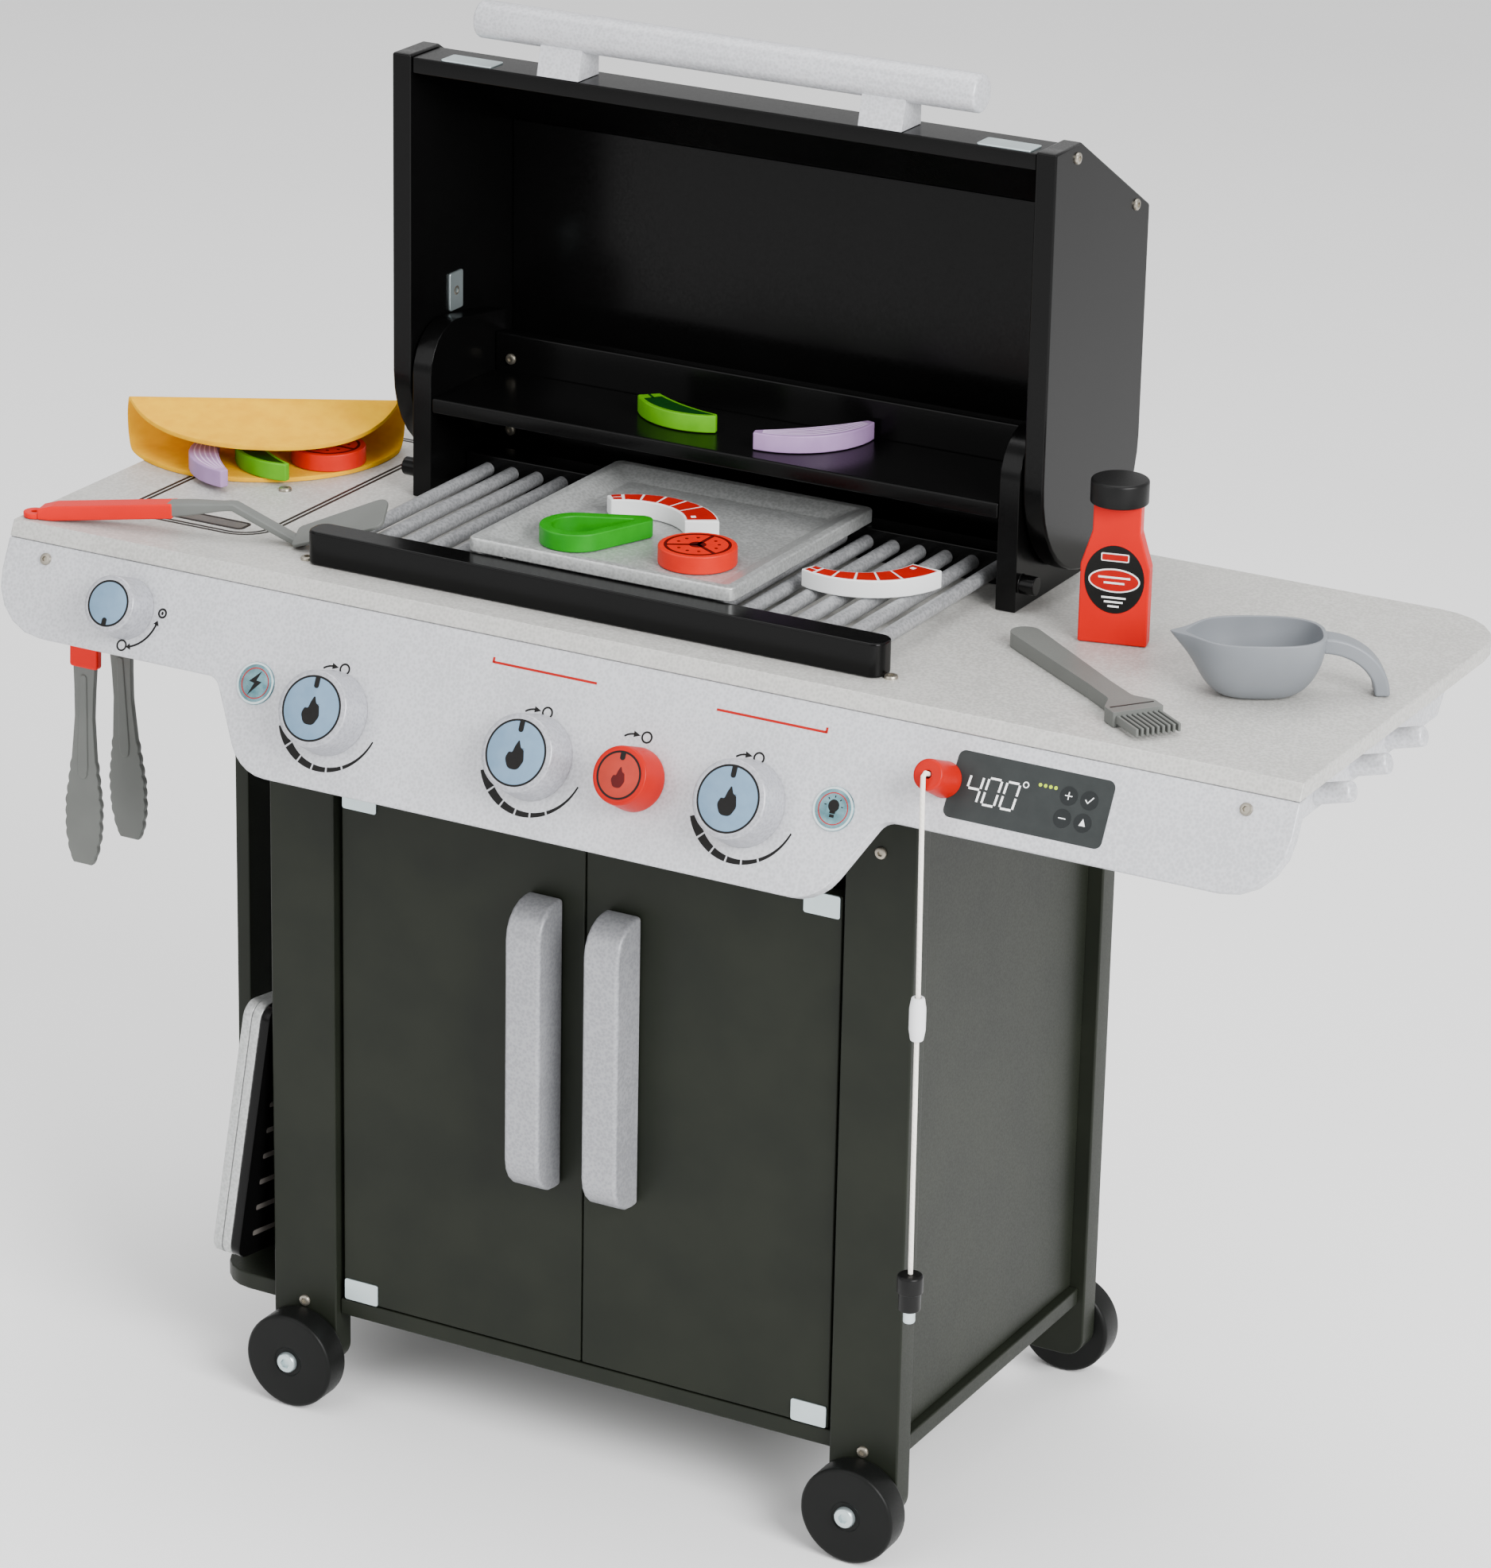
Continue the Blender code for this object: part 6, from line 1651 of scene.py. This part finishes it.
@dataclass
class Taco:
    """Felt disc folded over three slices."""

    radius: float = 80.0
    thickness: float = 2.5
    fold: float = 14.5
    droop: float = 10.0
    x: float = -339.0
    y: float = 180.0
    turn: float = 29.6
    rows: int = 72
    columns: int = 40

    def sheet_points(self) -> Array:
        """The folded disc: flat below, a half circle at the fold and a drooping flap above.

        A point at a distance along the sheet from the fold's middle lies on the lower run before the
        half circle, on the half circle's cosine and sine within a quarter turn of its middle, and
        past it on the upper run, which sinks by a sine. Each row is as wide as the disc there.

        Returns:
            Array of rows, columns and three coordinates.
        """
        distance = 0.995 * self.radius * np.sin(np.pi * (np.linspace(0, 1, self.rows) - 0.5))
        reach = np.sqrt(self.radius**2 - distance**2)
        quarter = math.pi * self.fold / 2
        low = self.thickness / 2 + AIR
        angle = np.clip(distance / self.fold, -math.pi / 2, math.pi / 2)
        run = np.abs(distance) - quarter
        y = np.where(np.abs(distance) <= quarter, self.fold * np.cos(angle), -run)
        sink = self.droop * np.sin(math.pi / 2 * np.clip(run / (self.radius - quarter), 0, 1))
        x = reach[:, None] * np.linspace(-1, 1, self.columns)[None, :]
        sag = np.where(distance > quarter, sink, 0.0)[:, None] * (1 + 0.25 * x / self.radius)
        z = (low + self.fold * (1 + np.sin(angle)))[:, None] - sag
        return np.stack([x, np.broadcast_to(y[:, None], x.shape), z], axis=2)

    def build(self) -> None:
        """Makes the felt and dresses the filling."""
        station = about_z(self.x, self.y, DECK, self.turn)
        skin = (self.sheet_points().reshape(-1, 3), grid_quads(self.rows, self.columns, False, False))
        felt = add_skins("felt_tortilla", [skin], FELT, station, "taco", ("tortilla",))
        wall = felt.modifiers.new("felt", "SOLIDIFY")
        wall.thickness, wall.offset = self.thickness * MM, 0.0
        edge = felt.modifiers.new("soft_rim", "BEVEL")
        edge.width, edge.segments = 0.9 * MM, 2
        edge.limit_method, edge.angle_limit = "ANGLE", math.radians(60)
        angle = math.radians(self.turn)
        level = DECK + self.thickness + 2 * AIR
        for node, x, y, turn, dress in (
            ("filling_onion", -32.0, -43.0, -82.0, FoodSlice.onion),
            ("filling_chili", -2.0, -42.0, -62.0, FoodSlice.chili),
            ("filling_tomato", 38.0, -24.0, 0.0, FoodSlice.tomato),
        ):
            place_x = self.x + x * math.cos(angle) - y * math.sin(angle)
            place_y = self.y + x * math.sin(angle) + y * math.cos(angle)
            dress(FoodSlice(node, about_z(place_x, place_y, level, self.turn + turn)))


@dataclass
class Thing:
    """A loose thing: one body, whose pieces stand for its one CAD node of the same name."""

    body: str
    station: Station

    def add(
        self, name: str, skins: list[Skin], finish: Finish, bevel: float = 0.0, segments: int = 2,
    ) -> None:
        """Adds a piece of the thing.

        Args:
            name: the piece's name.
            skins: its closed skins in the thing's station.
            finish: what it is made of.
            bevel: width of its eased edges.
            segments: faces across an edge.
        """
        add_skins(name, skins, finish, self.station, self.body, (self.body,), bevel, segments)


@dataclass
class Bottle(Thing):
    """A flat sauce bottle cut from board with a round cap and a plain label on both faces."""

    half_depth: float = 5.0
    cap_radius: float = 15.5
    cap_low: float = 77.5
    cap_high: float = 90.5

    def label(self, side: int, word: str) -> None:
        """A label of flat prints, each a layer higher than the one before.

        Args:
            side: -1 for the front, 1 for the back.
            word: front or back, for the pieces' names.
        """
        oval, plate = (0, 35.5), (46.0, 50.5)
        bars = [
            rectangle(-half, half, level - 0.5, level + 0.5)
            for half, level in ((6.5, 26.0), (5.0, 23.6), (3.0, 21.2), (8.5, 37.2), (5.5, 34.2))
        ]
        edge = [ellipse(*oval, 13.8, 6.6), rectangle(-7.5, 7.5, *plate, 0.8), *bars[:3]]
        field = [ellipse(*oval, 13.0, 5.8), rectangle(-6.9, 6.9, plate[0] + 0.6, plate[1] - 0.6, 0.6)]
        for layer, (part, outlines, ink, sink) in enumerate((
            ("label", [ellipse(0, 36, 16, 18.8)], BLACK_INK, PRINT_SINK),
            ("label_edge", edge, WHITE_INK, 0.0),
            ("label_field", field, RED_INK, 0.0),
            ("label_lines", bars[3:], WHITE_INK, 0.0),
        ), 1):
            ends = sorted((side * (self.half_depth - sink), side * (self.half_depth + layer * PRINT_RISE)))
            skins = [prism(outline, *ends, Axis.Y) for outline in outlines]
            add_skins(f"bottle_{word}_{part}", skins, ink, self.station, self.body)

    def build(self) -> None:
        """Makes body, cap and labels."""
        corners = mirrored([(18.5, 0.0, 0.0), (18.5, 43.0, 4.75), (12.75, 62.0, 4.75), (12.75, 79.0, 0.0)])
        board = prism(rounded(corners, 6), -self.half_depth, self.half_depth, Axis.Y)
        self.add("bottle_body", [board], BOTTLE_RED, 0.9, 3)
        wide, low, high = self.cap_radius, self.cap_low, self.cap_high
        cap = lathed([(0, low, 0), (wide, low, 0.8), (wide, high, 1.6), (0, high, 0)], 72)
        self.add("bottle_cap", [cap], BLACK_PLASTIC)
        self.label(-1, "front")
        self.label(1, "back")


@dataclass
class Bowl(Thing):
    """An oval sauce bowl with a pouring lip and a strap handle."""

    length: float = 70.0
    width: float = 50.0
    height: float = 33.0
    wall: float = 2.2
    squareness: float = 2.7
    lip: float = 11.0
    strap_half: float = 7.0

    def shell(self) -> Skin:
        """A quarter ellipse inside and out, turned, then pressed into shape.

        A superellipse squares the plan. A high power of x, times the height squared, draws the lip
        out, and a lower power narrows it.

        Returns:
            Points and faces.
        """
        half = self.length / 2
        swing = np.linspace(0, math.pi / 2, 30)
        outer = np.stack([0.42 + 0.58 * np.sin(swing), 1 - np.cos(swing)], axis=1)
        outer = np.vstack([[0.0, 0.0], outer])
        inner = outer[::-1].copy()
        inner[:, 0] = np.maximum(inner[:, 0] - self.wall / half, 0)
        inner[:, 1] = np.maximum(inner[:, 1], self.wall / self.height)
        profile = np.vstack([outer, inner]) * np.array([half, self.height])
        points, faces = turned([tuple(point) for point in profile], 96)
        ahead = np.maximum(-points[:, 0] / half, 0)
        level = (points[:, 2] / self.height) ** 2
        turn = np.arctan2(points[:, 1], points[:, 0])
        power = self.squareness
        square = (np.abs(np.cos(turn)) ** power + np.abs(np.sin(turn)) ** power) ** (-1 / power)
        points = points * np.stack([square, square, np.ones_like(square)], axis=1)
        points[:, 0] -= self.lip * ahead**12 * level
        points[:, 1] *= self.width / self.length * (1 - 0.55 * ahead**6 * level)
        return points, faces

    def build(self) -> None:
        """Makes the shell and the strap, which falls in a quarter ellipse from the rim."""
        self.add("bowl_wall", [self.shell()], GREY_PLASTIC, 0.4)
        angle = np.linspace(math.pi / 2, 0, 24)
        start, rise = self.length / 2 - self.wall, self.height - 1.5
        far = np.stack([start + 36 * np.cos(angle), rise * np.sin(angle)], axis=1)
        near = np.stack([start + 28 * np.cos(angle), (rise - 8.5) * np.sin(angle)], axis=1)
        strap = prism(np.vstack([far, near[::-1]]), -self.strap_half, self.strap_half, Axis.Y)
        self.add("bowl_handle", [strap], GREY_PLASTIC, 2.4, 4)


@dataclass
class Brush(Thing):
    """A basting brush with soft fingers."""

    thickness: float = 8.0
    fingers: int = 9
    first_finger: float = -12.95
    spread: float = 24.2
    finger_width: float = 1.7
    finger_start: float = 132.0
    finger_end: float = 157.0
    finger_low: float = 1.75
    finger_high: float = 6.25

    def build(self) -> None:
        """Makes handle, fingers and the dark seam before them."""
        half = [(0, 8.5, 8.3), (92, 6.375, 20), (115, 6.8, 8), (125, 14.5, 4.25), (135, 14.5, 1)]
        corners = [(a, -b, radius) for a, b, radius in half] + list(reversed(half))
        self.add("brush_handle", [prism(rounded(corners), 0, self.thickness)], TOOL_GREY, 2.2, 4)
        fingers = []
        for index in range(self.fingers):
            y = self.first_finger + self.spread * index / (self.fingers - 1)
            plan = rectangle(self.finger_start, self.finger_end, y, y + self.finger_width, 0.8)
            fingers.append(prism(plan, self.finger_low, self.finger_high))
        self.add("brush_fingers", fingers, TOOL_GREY, 0.5)
        top = self.thickness
        seam = strip(line((127.5, -12.5), (127.5, 12.5)), 1.0, False, top - 0.1, top + 0.15)
        add_skins("brush_seam", [seam], BLACK_PLASTIC, self.station, self.body)


@dataclass
class Spatula(Thing):
    """A spatula with a red grip that rests on its heel; X runs from the grip to the blade."""

    grip_start: float = -150.0
    grip_end: float = -70.0
    grip_z: float = 13.0
    grip_half: float = 4.25
    grip_side: float = 6.25
    blade_lift: float = -21.0
    blade_roll: float = 15.0
    blade_z: float = 2.8
    blade_thickness: float = 2.0

    def build(self) -> None:
        """Makes grip, loop, neck and blade."""
        start, end, tall = self.grip_start, self.grip_end, 2 * self.grip_half
        under, over = self.grip_z - self.grip_half, self.grip_z + self.grip_half
        grip = rounded([
            (start, 0, 0), (start + tall, 0, 0), (end, under, 1.5), (end, over, 1.5), (start + tall, tall, 6),
            (start, 0.7 * tall, 1),
        ])
        self.add("spatula_grip", [prism(grip, -self.grip_side, self.grip_side, Axis.Y)], RED_PLASTIC, 2.0, 4)
        loop = turned([(2.0, 0), (6.5, 0), (6.5, 2.975), (2.0, 2.975)], 40, looped=True)
        self.add("spatula_loop", [moved(loop, x=start - 3.5)], RED_PLASTIC, 0.5)
        stops = np.array([
            [end - 3.0, 0, self.grip_z], [-36.0, 0, 18.4], [-18.0, 0, 10.2], [0.0, 0, 2.2], [3.0, 0, 1.9],
        ])
        share = np.linspace(0, 4, 40)
        path = np.stack([np.interp(share, np.arange(5), stops[:, axis]) for axis in range(3)], axis=1)
        half = np.stack([
            np.interp(share, [0, 0.35, 0.8, 3, 4], [6.0, 6.0, 4.6, 5.0, 8.5]),
            np.interp(share, [0, 0.35, 0.8, 4], [4.0, 3.6, 2.2, 1.7]),
        ], axis=1)
        section = rectangle(-1, 1, -1, 1, 0.4)[None] * half[:, None]
        self.add("spatula_neck", [swept(path, (0, 1, 0), section)], TOOL_GREY)
        lift = Matrix.Rotation(math.radians(self.blade_lift), 3, "Y")
        roll = Matrix.Rotation(math.radians(self.blade_roll), 3, "X")
        place = np.array(self.station.origin) + np.array([0.0, 0.0, self.blade_z])
        plan = rounded([(0, -10, 3.3), (58, -16.5, 5.5), (54.5, 16.5, 8.2), (0, 10, 3.3)])
        blade = prism(plan, 0, self.blade_thickness)
        tilted = Thing(self.body, Station(tuple(place), self.station.turn @ (lift @ roll)))
        tilted.add("spatula_blade", [blade], TOOL_GREY, 0.5)


@dataclass
class Tongs(Thing):
    """Tongs that hang from the middle left hook by a steel bow."""

    bow_radius: float = 13.6
    spread: float = 2.8
    teeth_low: float = -204.0
    teeth_high: float = -146.0
    teeth_pitch: float = 7.2
    tooth: float = 0.9
    grip_half: float = 2.9
    arm_half: float = 1.9
    rib_half: float = 2.7

    def jaw(self) -> Array:
        """Outline of an arm: half widths between knots of level, with teeth as half sine waves.

        Returns:
            Array of points.
        """
        level = np.linspace(-86, -209, 150)
        knots = np.array([-212, -206, -190, -172, -150, -120, -104, -86])
        reach = np.interp(level, knots, [5.5, 9.0, 12.3, 12.6, 9.5, 7.2, 7.6, 8.6])
        wave = self.tooth * np.abs(np.sin((level - self.teeth_high) * math.pi / self.teeth_pitch))
        teeth = np.where((level < self.teeth_high) & (level > self.teeth_low), wave, 0.0)
        side = np.stack([reach - self.tooth + teeth, level], axis=1)
        return np.vstack([side, (side * np.array([-1.0, 1.0]))[::-1]])

    def build(self) -> None:
        """Makes the bow, both grips and both arms with their ribs."""
        x, y, top = self.station.origin
        reach = self.bow_radius
        angle = np.linspace(0, math.pi, 40)
        path = np.stack([np.zeros(40), reach * np.cos(angle), reach * np.sin(angle)], axis=1)
        self.add("tongs_bow", [swept(path, (1, 0, 0), rectangle(-4, 4, -1.1, 1.1, 0.4))], ZINC)
        grip = rounded(mirrored([(4, 0, 0), (9.5, -19.75, 5), (9.5, -90, 2)]))
        rib = rounded([(-2.2, -94, 2), (2.2, -94, 2), (3.6, -150, 3), (0, -176, 3), (-3.6, -150, 3)])
        for sign, word in ((-1, "front"), (1, "back")):
            turn = Matrix.Rotation(sign * math.radians(self.spread), 3, "X")
            arm = Thing(self.body, Station((x, y + sign * reach, top + 2.2), turn))
            for part, outline, half, finish, bevel, segments in (
                ("grip", grip, self.grip_half, RED_PLASTIC, 1.2, 3),
                ("arm", self.jaw(), self.arm_half, TOOL_GREY, 0.6, 2),
                ("rib", rib, self.rib_half, TOOL_GREY, 0.7, 2),
            ):
                skin = prism(outline, -half, half, Axis.Y)
                arm.add(f"tongs_{word}_{part}", [skin], finish, bevel, segments)


@dataclass
class StoredPlates:
    """Three square plates in the storage bay, one with a printed griddle pattern."""

    size: float = 156.0
    thickness: float = 6.0
    foot_y: float = 12.0
    board_z: float = -432.0
    lean: float = 5.0
    tip: float = 6.0
    yaw: float = -4.0
    bars: int = 9
    bar_pitch: float = 16.0
    bar_half: float = 1.6
    bar_inset: float = 12.0
    first_bar: float = 14.0

    def station(self, index: int) -> Station:
        """The frame of a plate: yaw and lean at its foot, then its place in the stack and its tip.

        Args:
            index: number of the plate, from the outside.
        Returns:
            A station whose X is the plate's thickness, and Y and Z its sides.
        """
        lean, tip, yaw = math.radians(self.lean), math.radians(self.tip), math.radians(self.yaw)
        pitch = self.thickness + AIR
        stack = 3 * pitch
        reach = self.size * math.sin(lean) + 3.4
        rise = (self.size - 9) * math.sin(tip) + 9 * (1 - math.cos(tip))
        drop = -(stack - pitch * index - pitch) * math.tan(lean)
        foot = Matrix.Translation((HEAD_X - 201.5 - 2 * AIR - reach, self.foot_y, self.board_z + AIR))
        turn = Matrix.Rotation(yaw, 4, "Z") @ Matrix.Rotation(lean, 4, "Y")
        matrix = foot @ turn @ Matrix.Translation((-stack, 0.0, rise + drop)) @ Matrix.Rotation(-tip, 4, "X")
        return Station(tuple(matrix.translation), matrix.to_3x3())

    def build(self) -> None:
        """Dresses the plates and prints the grid on the last one."""
        for index, paint in enumerate((TRAY_SILVER, TRAY_SILVER, BLACK)):
            ease_node(f"stored_plate_{index + 1}", paint, 0.9)
        face = 3 * (self.thickness + AIR) - AIR
        bars = []
        inset, half = self.bar_inset, self.bar_half
        for index in range(self.bars):
            level = self.first_bar + self.bar_pitch * index
            bar = rectangle(inset, self.size - inset, level - half, level + half, 1.2)
            bars.append(prism(bar, face, face + PRINT_RISE, Axis.X))
        add_skins("stored_plate_bars_print", bars, GREY_INK, self.station(2), "stored_plates")


def main() -> None:
    """Builds the scene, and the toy's classes in order."""
    logging.basicConfig(level=logging.INFO, format="%(message)s")
    Studio().build()
    ProbeCord().build()
    Worktop().build()
    ControlPanel().build()
    for knob in (
        Knob("knob_left", -163.4, 58.5, KnobKind.BURNER, KNOB_SILVER, FACE_BLUE, BLACK_INK),
        Knob("knob_middle", -36.1, 58.5, KnobKind.BURNER, KNOB_SILVER, FACE_BLUE, BLACK_INK),
        Knob("knob_right", 91.2, 58.5, KnobKind.BURNER, KNOB_SILVER, FACE_BLUE, BLACK_INK),
        Knob("knob_red", 26.0, 58.5, KnobKind.SMALL, RED, FACE_RED, MAROON_INK),
        Knob("knob_side", -304.0, 26.0, KnobKind.SMALL, KNOB_SILVER, FACE_BLUE, pointer=-90.0),
    ):
        knob.build()
    Cabinet().build()
    HookRails().build()
    GrillHead().build()
    Lid().build()
    Tray().build()
    FoodSlice("tray_shrimp", about_z(-46.0, 139.0, 31.4, -8.0)).shrimp()
    FoodSlice("tray_pepper", about_z(-72.0, 79.0, 31.4, 46.0)).pepper()
    FoodSlice("tray_tomato", about_z(1.0, 83.0, 31.4, 0.0)).tomato()
    FoodSlice("grate_shrimp", about_z(94.0, 104.0, 24.3, 32.0), True).shrimp()
    FoodSlice("shelf_chili", about_z(-73.0, 186.0, 69.1, -16.0)).chili()
    FoodSlice("shelf_onion", about_z(16.0, 190.0, 69.1, 48.0)).onion()
    Taco().build()
    Bottle("sauce_bottle", about_z(219.0, 144.0, DECK + AIR, 14.0)).build()
    Bowl("sauce_bowl", about_z(315.0, 113.0, DECK + AIR, 30.0)).build()
    Brush("basting_brush", about_z(176.0, 118.0, DECK + AIR, -37.0)).build()
    Spatula("spatula", about_z(-233.0, 50.0, DECK + AIR, 13.7)).build()
    Tongs("tongs", Station((-395.0, 94.5, -14.1))).build()
    StoredPlates().build()


if __name__ == "__main__":
    main()
